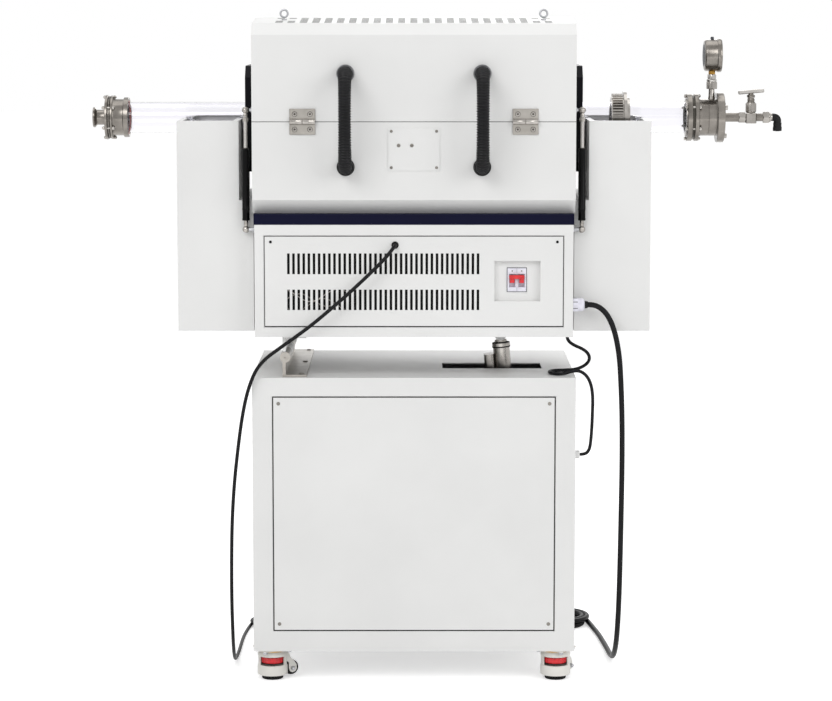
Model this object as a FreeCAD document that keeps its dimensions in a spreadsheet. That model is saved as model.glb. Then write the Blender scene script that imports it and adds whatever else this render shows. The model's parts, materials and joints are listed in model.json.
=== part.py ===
import FreeCAD, Part
import math
import os
import re
import Sketcher

V = FreeCAD.Vector
doc = FreeCAD.newDocument("TubeFurnace")

# ---------------------------------------------------------------- driving dimensions (mm)
# X runs along the tube, Y from the hinge side (-) to the operator side (+), Z up.
# The origin is on the floor, under the middle of the cart.
SIZES = {
    "half_depth": 220,        # hinge-side and operator-side faces of every housing
    "sheet_gauge": 2,         # sheet steel of the housings
    "panel_gap": 1.5,         # shadow gap round an inset panel
    "lip_width": 15,          # return flange that an inset panel lies on
    "cart_half": 311.5,
    "cart_bottom": 62,
    "cart_top": 598,
    "cart_panel_half": 272,
    "cart_panel_low": 103,
    "cart_panel_high": 561,
    "slot_left": 56,
    "slot_right": 252,
    "slot_near": -75,
    "slot_far": 10,
    "link_y": -198,           # where the short cable goes into the cart's side
    "link_z": 446,
    "caster_x": 277,
    "caster_y": 180,
    "caster_wheel_radius": 15,
    "caster_trail": 36.5,
    "caster_foot_radius": 21,
    "pivot_x": -248,
    "pivot_z": 636,
    "pivot_radius": 10.25,
    "pivot_pin": 4,
    "pivot_reach": 205,       # the tilt hinge runs nearly the whole depth
    "running_gap": 0.05,
    "ram_y": -32,
    "ram_base_x": 201,
    "ram_base_z": 323,
    "ram_eye_x": 171,
    "ram_eye_z": 662,
    "box_half": 305,
    "box_bottom": 677,
    "box_top": 892.6,
    "vent_half": 286,
    "vent_low": 697,
    "vent_high": 871,
    "breaker_left": 179,
    "breaker_right": 215.5,
    "breaker_low": 764,
    "breaker_high": 809,
    "band_top": 913.4,
    "band_half": 306,
    "shell_half": 308.5,
    "shell_bevel_top": 940,
    "shell_bevel_in": 25,
    "split_gap": 0.3,
    "tube_z": 1089,
    "tube_radius": 30,
    "tube_wall": 3,
    "tube_passage": 35,       # hole in the end walls and fibre that the tube runs through
    "tube_left": -590,
    "tube_right": 550,
    "lid_shoulder": 1253,
    "lid_deck": 1275,
    "lid_ridge": 1285,
    "lid_bevel_in": 24,
    "eye_x": 250,
    "eye_y": -120,
    "eye_radius": 5,
    "hinge_y": -226,
    "hinge_x": 212,
    "hinge_width": 49,
    "hinge_reach": 24.5,      # how far each leaf goes from the pin
    "hinge_leaf": 3,
    "knuckle_radius": 5.5,
    "wing_inner": 336,
    "wing_outer": 455,
    "wing_bottom": 684.5,
    "wing_notch": 937,
    "wing_half_depth": 180,
    "cover_plate_half": 49,
    "end_cover_outer": 328,
    "end_cover_reach": 103,
    "chamber_radius": 50,
    "chamber_half": 220,
    "spring_x": 322,
    "spring_y": -192,
    "spring_low": 882,
    "spring_high": 1110,
    "hose_radius": 12.75,
    "hose_x": 130,
    "hose_high": 1180,
    "hose_low": 1003,
    "gear_left": 391,
    "gear_right": 411,
    "gear_module": 2,
    "gear_teeth": 45,
    "pinion_teeth": 20,
}

sheet = doc.addObject("Spreadsheet::Sheet", "Sizes")
for row, (word, amount) in enumerate(SIZES.items(), start=1):
    sheet.set(f"A{row}", word)
    sheet.set(f"B{row}", str(amount))
    sheet.setAlias(f"B{row}", word)
doc.recompute()


def mm(word):
    """The value of one driving dimension."""
    return float(sheet.get(word))


def in_sheet(text):
    """An expression with every driving word pointed at its cell."""
    def point(match):
        word = match.group(0)
        return "Sizes." + word if word in SIZES else word
    return re.sub(r"[a-z][a-z_]+", point, str(text))


def bind(thing, prop, text):
    thing.setExpression(prop, in_sheet(text))


nodes = {}


def keep(thing, label):
    """Register a finished piece under the name that its file gets."""
    thing.Label = label
    nodes[label] = thing
    return thing


# ---------------------------------------------------------------- Part primitives
serial = [0]


def fresh(stem):
    serial[0] += 1
    return f"{stem}_{serial[0]}"


def box(x, y, z):
    """A box between two bound limits on each axis."""
    thing = doc.addObject("Part::Box", fresh("Block"))
    for prop, axis, (low, high) in (("Length", "x", x), ("Width", "y", y), ("Height", "z", z)):
        bind(thing, prop, f"({high}) - ({low})")
        bind(thing, f"Placement.Base.{axis}", low)
    return thing


AXES = {"x": V(1, 0, 0), "y": V(0, 1, 0), "z": V(0, 0, 1)}


def rod(axis, radius, start, length, kind="Part::Cylinder", radius_end=None):
    """A cylinder or cone along one axis; start is the middle of its lower end."""
    thing = doc.addObject(kind, fresh("Round"))
    turn = FreeCAD.Rotation(V(0, 0, 1), AXES[axis])
    thing.Placement = FreeCAD.Placement(V(0, 0, 0), turn)
    if radius_end is None:
        bind(thing, "Radius", radius)
    else:
        bind(thing, "Radius1", radius)
        bind(thing, "Radius2", radius_end)
    bind(thing, "Height", length)
    for name, place in zip("xyz", start):
        bind(thing, f"Placement.Base.{name}", place)
    return thing


def ball(radius, centre):
    thing = doc.addObject("Part::Sphere", fresh("Ball"))
    bind(thing, "Radius", radius)
    for name, place in zip("xyz", centre):
        bind(thing, f"Placement.Base.{name}", place)
    return thing


def hexagon(axis, across, start, length):
    """A hexagonal bar; across is the distance over its flats."""
    thing = doc.addObject("Part::Prism", fresh("Hex"))
    thing.Polygon = 6
    turn = FreeCAD.Rotation(V(0, 0, 1), AXES[axis])
    thing.Placement = FreeCAD.Placement(V(0, 0, 0), turn)
    bind(thing, "Circumradius", f"({across}) / 2 / cos(30)")
    bind(thing, "Height", length)
    for name, place in zip("xyz", start):
        bind(thing, f"Placement.Base.{name}", place)
    return thing


def fuse(*things):
    thing = doc.addObject("Part::MultiFuse", fresh("Joined"))
    thing.Shapes = list(things)
    return thing


def cut(base, *tools):
    thing = doc.addObject("Part::Cut", fresh("Cut"))
    thing.Base = base
    thing.Tool = tools[0] if len(tools) == 1 else fuse(*tools)
    return thing


def group(*things):
    """Separate solids that share one node."""
    thing = doc.addObject("Part::Compound", fresh("Set"))
    thing.Links = list(things)
    return thing


def mirrored(thing, axis):
    """A copy on the other side of the plane through the origin across that axis."""
    copy = doc.addObject("Part::Mirroring", fresh("Mirror"))
    copy.Source = thing
    copy.Normal = AXES[axis]
    return copy


def pair(thing, axis):
    return group(thing, mirrored(thing, axis))


def plain(shape, placement=None):
    """A shape worked out by code, for forms that no primitive or body suits."""
    thing = doc.addObject("Part::Feature", fresh("Form"))
    thing.Shape = shape
    if placement is not None:
        thing.Placement = placement
    return thing


# ---------------------------------------------------------------- PartDesign bodies
def body(label):
    return keep(doc.addObject("PartDesign::Body", label), label)


def sketch(owner, plane, offset="0"):
    """A sketch on one of the body's own origin planes, moved along its normal."""
    thing = owner.newObject("Sketcher::SketchObject", fresh("Sketch"))
    face = [f for f in owner.Origin.OriginFeatures if f.Role == plane][0]
    thing.AttachmentSupport = [(face, "")]
    thing.MapMode = "FlatFace"
    bind(thing, "AttachmentOffset.Base.z", offset)
    return thing


def outline(owner_sketch, points):
    """A closed run of straight lines through points of the sketch plane."""
    first = owner_sketch.GeometryCount
    count = len(points)
    for index, start in enumerate(points):
        end = points[(index + 1) % count]
        line = Part.LineSegment(V(*start, 0), V(*end, 0))
        owner_sketch.addGeometry(line, False)
    for index in range(count):
        follower = first + (index + 1) % count
        owner_sketch.addConstraint(Sketcher.Constraint("Coincident", first + index, 2, follower, 1))


def rectangle(owner_sketch, left, right, low, high):
    """A rectangle whose four sides are bound to the sheet."""
    first = owner_sketch.GeometryCount
    corners = [(0, 0), (1, 0), (1, 1), (0, 1)]
    outline(owner_sketch, corners)
    for line, kind in enumerate(("Horizontal", "Vertical", "Horizontal", "Vertical")):
        owner_sketch.addConstraint(Sketcher.Constraint(kind, first + line))
    places = (("DistanceX", 0, left), ("DistanceY", 0, low), ("DistanceX", 2, right), ("DistanceY", 2, high))
    for kind, line, place in places:
        number = owner_sketch.addConstraint(Sketcher.Constraint(kind, -1, 1, first + line, 1, 0.5))
        bind(owner_sketch, f"Constraints[{number}]", place)


def circle(owner_sketch, across, up, radius):
    """A circle bound to the sheet in place and size."""
    number = owner_sketch.addGeometry(Part.Circle(V(1, 1, 0), V(0, 0, 1), 1), False)
    for kind, place in (("DistanceX", across), ("DistanceY", up)):
        held = owner_sketch.addConstraint(Sketcher.Constraint(kind, -1, 1, number, 3, 0.5))
        bind(owner_sketch, f"Constraints[{held}]", place)
    held = owner_sketch.addConstraint(Sketcher.Constraint("Radius", number, 1.0))
    bind(owner_sketch, f"Constraints[{held}]", radius)


def pad(owner, profile, length, midplane=False, reverse=False):
    thing = owner.newObject("PartDesign::Pad", fresh("Pad"))
    thing.Profile = profile
    bind(thing, "Length", length)
    thing.Midplane = midplane
    thing.Reversed = reverse
    owner.Tip = thing
    return thing


def pocket(owner, profile, length, midplane=False, reverse=False):
    thing = owner.newObject("PartDesign::Pocket", fresh("Pocket"))
    thing.Profile = profile
    bind(thing, "Length", length)
    thing.Midplane = midplane
    thing.Reversed = reverse
    owner.Tip = thing
    return thing


def revolve(owner, profile, axis="H_Axis"):
    thing = owner.newObject("PartDesign::Revolution", fresh("Turned"))
    thing.Profile = profile
    thing.ReferenceAxis = (profile, [axis])
    thing.Angle = 360
    owner.Tip = thing
    return thing


def turned(points, axis_height="tube_z"):
    """A ring or stepped bar turned about the tube's axis from (x, radius) points."""
    owner = doc.addObject("PartDesign::Body", fresh("Turning"))
    profile = sketch(owner, "XZ_Plane")
    outline(profile, points)
    revolve(owner, profile)
    bind(owner, "Placement.Base.z", axis_height)
    return owner


# ---------------------------------------------------------------- cart
def open_frame(half, low, high, opening_half, opening_low, opening_high):
    """A sheet box open at both ends of Y, each opening with a return lip for its panel."""
    skin = cut(
        box((f"-{half}", half), ("-half_depth", "half_depth"), (low, high)),
        box((f"-{half} + sheet_gauge", f"{half} - sheet_gauge"),
            ("-half_depth + sheet_gauge", "half_depth - sheet_gauge"),
            (f"{low} + sheet_gauge", f"{high} - sheet_gauge")),
        box((f"-{opening_half} - panel_gap", f"{opening_half} + panel_gap"),
            ("-half_depth - 5", "half_depth + 5"),
            (f"{opening_low} - panel_gap", f"{opening_high} + panel_gap")),
    )
    lips = []
    for near, far in (("-half_depth + sheet_gauge", "-half_depth + 2 * sheet_gauge"),
                      ("half_depth - 2 * sheet_gauge", "half_depth - sheet_gauge")):
        lips.append(cut(
            box((f"-{opening_half} - lip_width", f"{opening_half} + lip_width"), (near, far),
                (f"{opening_low} - lip_width", f"{opening_high} + lip_width")),
            box((f"-{opening_half} + lip_width", f"{opening_half} - lip_width"),
                ("-half_depth", "half_depth"),
                (f"{opening_low} + lip_width", f"{opening_high} - lip_width"))))
    return skin, lips


def at_casters(make):
    """One piece for each corner of the cart."""
    things = []
    for side in (-1, 1):
        for end in (-1, 1):
            things.append(make(side, end))
    return things


def cart():
    skin, lips = open_frame("cart_half", "cart_bottom", "cart_top",
                            "cart_panel_half", "cart_panel_low", "cart_panel_high")
    slot = box(("slot_left", "slot_right"), ("slot_near", "slot_far"), ("cart_top - 10", "cart_top + 10"))
    plates = at_casters(lambda side, end: box(
        (f"{side} * caster_x - 30", f"{side} * caster_x + 30"),
        (f"{end} * caster_y - 30", f"{end} * caster_y + 30"),
        ("cart_bottom - 3", "cart_bottom")))
    gland = rod("x", "8", ("cart_half", "link_y", "link_z"), "9")
    keep(fuse(cut(skin, slot), *lips, *plates, gland), "cart_cabinet")

    panel = body("cart_back_panel")
    profile = sketch(panel, "XZ_Plane", "half_depth - sheet_gauge")
    rectangle(profile, "-cart_panel_half", "cart_panel_half", "cart_panel_low", "cart_panel_high")
    pad(panel, profile, "sheet_gauge")

    door = body("cart_door")
    profile = sketch(door, "XZ_Plane", "-half_depth")
    rectangle(profile, "-cart_panel_half", "cart_panel_half", "cart_panel_low", "cart_panel_high")
    pad(door, profile, "sheet_gauge")
    profile = sketch(door, "XZ_Plane", "-half_depth - 22")
    rectangle(profile, "-60", "60", "cart_panel_high - 62", "cart_panel_high - 50")
    pad(door, profile, "4")
    profile = sketch(door, "XZ_Plane", "-half_depth - 20")
    rectangle(profile, "-60", "-52", "cart_panel_high - 62", "cart_panel_high - 50")
    rectangle(profile, "52", "60", "cart_panel_high - 62", "cart_panel_high - 50")
    pad(door, profile, "20")


def screw_on_near_face(x, z, face="-half_depth", radius="3.5"):
    """A countersunk screw head, flat with the face that looks towards -Y."""
    return rod("y", radius, (x, f"{face} - 0.8", z), "0.8")


def cart_screws():
    corners = [(f"{side} * 261", height) for side in (-1, 1) for height in ("548", "116")]
    keep(group(*[screw_on_near_face(x, z) for x, z in corners]), "cart_screws")


KNUCKLES = ((-205, -120), (-120, -35), (-35, 35), (35, 120), (120, 205))
KNUCKLE_GAP = 0.3


def tilt_leaf(low, high, upright, owned, others, bore):
    """One L-shaped leaf of the tilt hinge with its own knuckles, cleared round the other leaf's."""
    flat = box(("pivot_x + 1", "pivot_x + 41"), ("-pivot_reach", "pivot_reach"), (low, high))
    web = box(("pivot_x - 5", "pivot_x + 1"), ("-pivot_reach", "pivot_reach"), upright)
    arms = []
    for near, far in owned:
        near, far = near + KNUCKLE_GAP, far - KNUCKLE_GAP
        arms.append(rod("y", "pivot_radius", ("pivot_x", str(near), "pivot_z"), str(far - near)))
        arms.append(box(("pivot_x - 5", "pivot_x + 1"), (str(near), str(far)),
                        (upright[0], "pivot_z") if bore is None else ("pivot_z", upright[1])))
    clear = [rod("y", "pivot_radius + 0.6", ("pivot_x", str(near - KNUCKLE_GAP), "pivot_z"),
                 str(far - near + 2 * KNUCKLE_GAP)) for near, far in others]
    return cut(fuse(flat, web, *arms), *clear, *([bore] if bore else []))


def tilt_hinge_on_cart():
    """Lower leaf with the outer and middle knuckles, the pin and the two leaf screws."""
    leaf = tilt_leaf("cart_top", "cart_top + 4", ("cart_top", "pivot_z - pivot_radius - 1"),
                     KNUCKLES[::2], KNUCKLES[1::2], None)
    pin = rod("y", "pivot_pin", ("pivot_x", "-pivot_reach", "pivot_z"), "2 * pivot_reach")
    ends = [rod("y", "1.75", ("pivot_x", place, "pivot_z"), "6")
            for place in ("-pivot_reach - 1", "pivot_reach - 5")]
    heads = [rod("z", "5.5", ("pivot_x + 31", place, "cart_top + 4"), "2.2", "Part::Cone", "3.5")
             for place in ("-188", "0", "188")]
    return cut(fuse(leaf, pin, *heads), *ends)


def cart_brackets():
    beam = box(("-cart_half + sheet_gauge", "cart_half - sheet_gauge"), ("ram_y - 20", "ram_y + 20"),
               ("ram_base_z - 50", "ram_base_z - 24"))
    lugs = [box(("ram_base_x - 14", "ram_base_x + 14"), (low, high), ("ram_base_z - 24", "ram_base_z + 8"))
            for low, high in (("ram_y - 20", "ram_y - 14"), ("ram_y + 14", "ram_y + 20"))]
    keep(group(tilt_hinge_on_cart(), fuse(beam, *lugs)), "cart_brackets")


def casters():
    """Levelling casters: the foot screw is on the swivel axis and the wheel trails behind it."""
    headings = {(-1, -1): 25, (-1, 1): 150, (1, -1): 60, (1, 1): 20}
    for number, ((side, end), heading) in enumerate(headings.items(), start=1):
        place = FreeCAD.Placement(V(side * mm("caster_x"), end * mm("caster_y"), 0),
                                  FreeCAD.Rotation(V(0, 0, 1), heading))
        caster(number, place)


def caster(number, place):
    trail, wheel = mm("caster_trail"), mm("caster_wheel_radius")
    axle_z = wheel + 4
    head = Part.makeCylinder(26, 6.7, V(0, 0, 52))
    head = head.fuse(Part.makeCylinder(29, 9, V(0, 0, 46)))
    column = Part.makeCylinder(29, 28, V(0, 0, 18))
    window = Part.makeCylinder(25, 40, V(0, 0, 14))
    slot = Part.makeBox(48, 70, 18, V(-24, -35, 28))
    column = column.cut(window).cut(slot)
    fender = Part.makeCylinder(wheel + 6, 31, V(trail, -15.5, axle_z), V(0, 1, 0))
    fender = fender.common(Part.makeBox(2 * wheel + 20, 40, wheel + 6, V(trail - wheel - 8, -20, axle_z - 6)))
    hollow = Part.makeCylinder(wheel + 2, 24, V(trail, -12, axle_z), V(0, 1, 0))
    hollow = hollow.fuse(Part.makeBox(2 * wheel + 4, 24, 30, V(trail - wheel - 2, -12, axle_z - 30)))
    bore = Part.makeCylinder(25, 44, V(0, 0, 10))
    stem_hole = Part.makeCylinder(5.05, 60, V(0, 0, 0))
    housing = head.fuse([column.cut(hollow), fender.cut(hollow).cut(bore)]).cut(stem_hole)
    axle = Part.makeCylinder(3, 31, V(trail, -15.5, axle_z), V(0, 1, 0))
    housing = housing.fuse(axle)
    dial = Part.makeCylinder(23, 11, V(0, 0, 32.5)).cut(Part.makeCylinder(5.05, 20, V(0, 0, 30)))
    post = Part.makeCylinder(12, 2.5, V(0, 0, 43.5)).cut(Part.makeCylinder(5.05, 20, V(0, 0, 40)))
    dial = dial.fuse(post)
    keep(plain(Part.makeCompound([housing.removeSplitter(), dial]), place), f"caster_housing_{number}")

    tyre = Part.makeCylinder(wheel, 20, V(trail, -10, axle_z), V(0, 1, 0))
    tyre = tyre.makeFillet(3, [edge for edge in tyre.Edges if edge.Closed])
    tyre = tyre.cut(Part.makeCylinder(3.05, 40, V(trail, -20, axle_z), V(0, 1, 0)))
    keep(plain(tyre, place), f"caster_wheel_{number}")

    pad_radius = mm("caster_foot_radius")
    foot = Part.makeCylinder(pad_radius, 8).fuse(Part.makeCone(pad_radius - 4, 8, 6, V(0, 0, 8)))
    foot = foot.fuse(Part.makeCylinder(5, 40, V(0, 0, 12)))
    keep(plain(foot.removeSplitter(), place), f"caster_foot_{number}")


# ---------------------------------------------------------------- tilt actuator
def ram_frame():
    """Placement whose local Z runs from the ram's base pin to its eye."""
    base = V(mm("ram_base_x"), mm("ram_y"), mm("ram_base_z"))
    eye = V(mm("ram_eye_x"), mm("ram_y"), mm("ram_eye_z"))
    lean = FreeCAD.Rotation(V(0, 0, 1), eye - base)
    return FreeCAD.Placement(base, lean), (eye - base).Length


def actuator():
    place, reach = ram_frame()
    rim = reach - 18
    outer = Part.makeCylinder(16.5, rim - 14, V(0, 0, 14)).cut(Part.makeCylinder(12.06, rim, V(0, 0, 40)))
    outer = outer.fuse(Part.makeCylinder(18, 7, V(0, 0, rim - 7)).cut(Part.makeCylinder(12.06, rim)))
    motor = Part.makeBox(20, 34, rim - 40, V(-36, -17, 20))
    motor = motor.makeFillet(8, [e for e in motor.Edges if abs(e.tangentAt(0).z) > 0.9])
    motor = motor.fuse(Part.makeBox(50, 34, 22, V(-36, -17, 14)))
    motor = motor.cut(Part.makeCylinder(16.5, rim, V(0, 0, 36)))
    eye = Part.makeCylinder(12, 26, V(0, -13, 0), V(0, 1, 0)).fuse(Part.makeBox(16, 26, 16, V(-8, -13, 0)))
    pin = Part.makeCylinder(5, 27.4, V(0, -13.7, 0), V(0, 1, 0))
    keep(plain(outer.fuse([motor, eye, pin]).removeSplitter(), place), "actuator_body")

    stem = Part.makeCylinder(12, reach - 60, V(0, 0, 48))
    head = Part.makeCylinder(11, 22, V(0, -11, reach), V(0, 1, 0))
    bolt = Part.makeCylinder(4, 23.4, V(0, -11.7, reach), V(0, 1, 0))
    keep(plain(stem.fuse([head, bolt]).removeSplitter(), place), "actuator_rod")


# ---------------------------------------------------------------- control box
def control_box():
    skin, lips = open_frame("box_half", "box_bottom", "box_top", "vent_half", "vent_low", "vent_high")
    bore = rod("y", "pivot_pin + running_gap", ("pivot_x", "-pivot_reach - 5", "pivot_z"),
               "2 * pivot_reach + 10")
    leaf = tilt_leaf("box_bottom - 4", "box_bottom", ("pivot_z + pivot_radius + 1", "box_bottom"),
                     KNUCKLES[1::2], KNUCKLES[::2], bore)
    clevis = [fuse(box(("ram_eye_x - 12", "ram_eye_x + 12"), (low, high), ("ram_eye_z", "box_bottom")),
                   rod("y", "12", ("ram_eye_x", low, "ram_eye_z"), "5"))
              for low, high in (("ram_y - 17", "ram_y - 12"), ("ram_y + 12", "ram_y + 17"))]
    keep(fuse(skin, *lips, leaf, *clevis), "control_box")


def vent_panel():
    """Inset panel with two rows of cooling slots, a cable hole and a recessed breaker pan."""
    owner = body("vent_panel")
    profile = sketch(owner, "XZ_Plane", "half_depth - sheet_gauge")
    rectangle(profile, "-vent_half", "vent_half", "vent_low", "vent_high")
    pad(owner, profile, "sheet_gauge")
    profile = sketch(owner, "XZ_Plane", "half_depth - 14")
    rectangle(profile, "152", "244", "744", "825.5")
    pad(owner, profile, "13")
    profile = sketch(owner, "XZ_Plane", "half_depth + 1")
    rectangle(profile, "154", "242", "746", "823.5")
    pocket(owner, profile, "13")
    profile = sketch(owner, "XZ_Plane", "half_depth + 1")
    rectangle(profile, "breaker_left - 0.3", "breaker_right + 0.3", "breaker_low - 0.3", "breaker_high + 0.3")
    circle(profile, "-36", "854", "5.5")
    pocket(owner, profile, "20")
    profile = sketch(owner, "XZ_Plane", "half_depth + 1")
    rectangle(profile, "-242.5", "-237.5", "729", "768.5")
    rectangle(profile, "-242.5", "-237.5", "798", "838")
    first = pocket(owner, profile, "20")
    row_of_slots = owner.newObject("PartDesign::LinearPattern", fresh("Slots"))
    row_of_slots.Originals = [first]
    row_of_slots.Direction = (profile, ["H_Axis"])
    row_of_slots.Length = 37 * 9.8
    row_of_slots.Occurrences = 38
    owner.Tip = row_of_slots


def breaker():
    nose = box(("breaker_left", "breaker_right"), ("-212", "-190"), ("breaker_low", "breaker_high"))
    case = box(("breaker_left", "breaker_right"), ("-206", "-150"), ("breaker_low - 17", "breaker_high + 17"))
    cleft = box(("breaker_left + 2.5", "breaker_right - 2.5"), ("-213", "-201.8"), ("772", "797"))
    keep(cut(fuse(nose, case), cleft), "breaker_body")
    bar = box(("breaker_left + 3", "breaker_right - 3"), ("-219", "-213.5"), ("790", "796"))
    legs = [box((left, right), ("-216", "-204"), ("784", "791"))
            for left, right in (("breaker_left + 5", "breaker_left + 11"),
                                ("breaker_right - 11", "breaker_right - 5"))]
    trunnion = rod("x", "2.4", ("breaker_left + 3", "-205", "786.5"), "breaker_right - breaker_left - 6")
    keep(fuse(bar, trunnion, *legs), "breaker_toggle")


def front_panel():
    """Operator-side panel with its touch screen bezel and the seat of the stop button."""
    owner = body("front_panel")
    profile = sketch(owner, "XZ_Plane", "-half_depth")
    rectangle(profile, "-vent_half", "vent_half", "vent_low", "vent_high")
    pad(owner, profile, "sheet_gauge")
    profile = sketch(owner, "XZ_Plane", "-half_depth - 6")
    rectangle(profile, "-100", "100", "718", "850")
    pad(owner, profile, "6")
    profile = sketch(owner, "XZ_Plane", "-half_depth - 6")
    rectangle(profile, "-88", "88", "730", "838")
    pocket(owner, profile, "1.5", reverse=True)
    profile = sketch(owner, "XZ_Plane", "-half_depth - 5")
    circle(profile, "-200", "784", "16")
    pad(owner, profile, "5")
    profile = sketch(owner, "XZ_Plane", "-half_depth - 10")
    circle(profile, "-200", "784", "8.05")
    pocket(owner, profile, "40", midplane=True)
    stem = rod("y", "8", ("-200", "half_depth - 8", "784"), "28")
    cap = rod("y", "20", ("-200", "half_depth + 12", "784"), "14")
    keep(fuse(stem, cap), "stop_button")


def box_fasteners():
    """Panel and cover screws on the hinge side, and the two lower gas spring studs."""
    screws = [screw_on_near_face(f"{side} * 274", "860") for side in (-1, 1)]
    cover = "-half_depth - 2"
    screws += [screw_on_near_face(f"{side} * 43", height, cover, "2.8")
               for side in (-1, 1) for height in ("1002", "1071")]
    screws += [screw_on_near_face(x, "1044", cover, "3.6") for x in ("-29", "-4")]
    stud = fuse(rod("x", "4", ("box_half", "spring_y", "spring_low"), "spring_x - box_half"),
                ball("5", ("spring_x", "spring_y", "spring_low")),
                rod("x", "7", ("box_half", "spring_y", "spring_low"), "3"))
    keep(group(*screws, stud, mirrored(stud, "x")), "box_fasteners")


def glands():
    """Cable and conduit glands of the tilting body, all on its hinge side."""
    seat = rod("y", "16.5", ("hose_x", "-half_depth - 7", "hose_low"), "7")
    collar = rod("y", "14.5", ("hose_x", "-half_depth - 18", "hose_low"), "11")
    conduit = fuse(seat, collar)
    hexes = fuse(hexagon("x", "22", ("box_half", "-205", "738"), "9"),
                 rod("x", "9.5", ("box_half + 9", "-205", "738"), "20", "Part::Cone", "6.6"))
    grommet = fuse(rod("y", "7", ("-36", "-half_depth - 2", "854"), "2"),
                   rod("y", "5.4", ("-36", "-half_depth", "854"), "2"))
    keep(group(conduit, mirrored(conduit, "x"), hexes, grommet), "base_glands")


# ---------------------------------------------------------------- furnace body and lid
def base_outline(inset):
    """Half of the furnace below the split plane, seen along the tube."""
    deep = mm("half_depth") - inset
    low = mm("band_top") + inset
    bevel = mm("shell_bevel_in")
    top = mm("tube_z") - mm("split_gap")
    shoulder = mm("shell_bevel_top") + inset * 0.4
    return [(-deep + bevel, low), (deep - bevel, low), (deep, shoulder), (deep, top),
            (-deep, top), (-deep, shoulder)]


def lid_outline(inset):
    """The lid's section: upright walls, bevelled shoulders and a low ridge."""
    deep = mm("half_depth") - inset
    bevel = mm("lid_bevel_in")
    low = mm("tube_z") + mm("split_gap")
    return [(-deep, low), (deep, low), (deep, mm("lid_shoulder") - inset * 0.4),
            (deep - bevel, mm("lid_deck") - inset), (60, mm("lid_ridge") - inset),
            (-60, mm("lid_ridge") - inset), (-deep + bevel, mm("lid_deck") - inset),
            (-deep, mm("lid_shoulder") - inset * 0.4)]


def furnace_half(label, section, rim):
    """One sheet-steel half of the furnace, open at the split plane, notched for the tube."""
    owner = body(label)
    profile = sketch(owner, "YZ_Plane")
    outline(profile, section(0))
    pad(owner, profile, "2 * shell_half", midplane=True)
    hollow = sketch(owner, "YZ_Plane")
    points = section(mm("sheet_gauge"))
    reach = 1 if rim > 0 else -1
    edge = mm("tube_z") - reach * mm("split_gap")
    outline(hollow, [(y, z + reach * 5 if abs(z - edge) < 0.01 else z) for y, z in points])
    pocket(owner, hollow, "2 * (shell_half - sheet_gauge)", midplane=True)
    notch = sketch(owner, "YZ_Plane")
    circle(notch, "0", "tube_z", "tube_passage")
    pocket(owner, notch, "2 * shell_half + 4", midplane=True)
    return owner


def insulation(label, section):
    """Ceramic fibre half with the heating chamber and the tube's passage hollowed out."""
    owner = body(label)
    profile = sketch(owner, "YZ_Plane")
    outline(profile, section(mm("sheet_gauge") + 0.3))
    pad(owner, profile, "2 * (shell_half - sheet_gauge) - 0.6", midplane=True)
    chamber = sketch(owner, "YZ_Plane")
    circle(chamber, "0", "tube_z", "chamber_radius")
    pocket(owner, chamber, "2 * chamber_half", midplane=True)
    passage = sketch(owner, "YZ_Plane")
    circle(passage, "0", "tube_z", "tube_passage")
    pocket(owner, passage, "2 * shell_half + 4", midplane=True)
    return owner


def end_cover(rim):
    """Painted cover where the tube leaves the furnace, split with the lid."""
    reach, chamfer = mm("end_cover_reach"), 22
    edge = mm("tube_z") + rim * mm("split_gap")
    far = mm("tube_z") + rim * reach
    points = [(-98, edge), (98, edge), (98, far - rim * chamfer), (98 - chamfer, far),
              (-98 + chamfer, far), (-98, far - rim * chamfer)]
    owner = doc.addObject("PartDesign::Body", fresh("EndCover"))
    profile = sketch(owner, "YZ_Plane", "shell_half")
    outline(profile, points)
    pad(owner, profile, "end_cover_outer - shell_half")
    notch = sketch(owner, "YZ_Plane", "shell_half - 1")
    circle(notch, "0", "tube_z", "tube_passage + 1")
    pocket(owner, notch, "60", midplane=True)
    return owner


def furnace():
    keep(box(("-band_half", "band_half"), ("-half_depth", "half_depth"), ("box_top", "band_top")), "base_band")
    furnace_half("lower_shell", base_outline, 1)
    lid = furnace_half("lid_shell", lid_outline, -1)
    holes = sketch(lid, "XY_Plane", "lid_ridge + 5")
    for side in ("-1", "1"):
        circle(holes, f"{side} * eye_x", "eye_y", "eye_radius + running_gap")
    pocket(lid, holes, "14")
    insulation("lower_insulation", base_outline)
    insulation("lid_insulation", lid_outline)
    keep(pair(end_cover(-1), "x"), "end_covers_lower")
    keep(pair(end_cover(1), "x"), "end_covers_lid")
    plate = box(("-cover_plate_half", "cover_plate_half"), ("-half_depth - 2", "-half_depth"), ("996", "1077"))
    keep(plate, "cover_plate")


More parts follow.
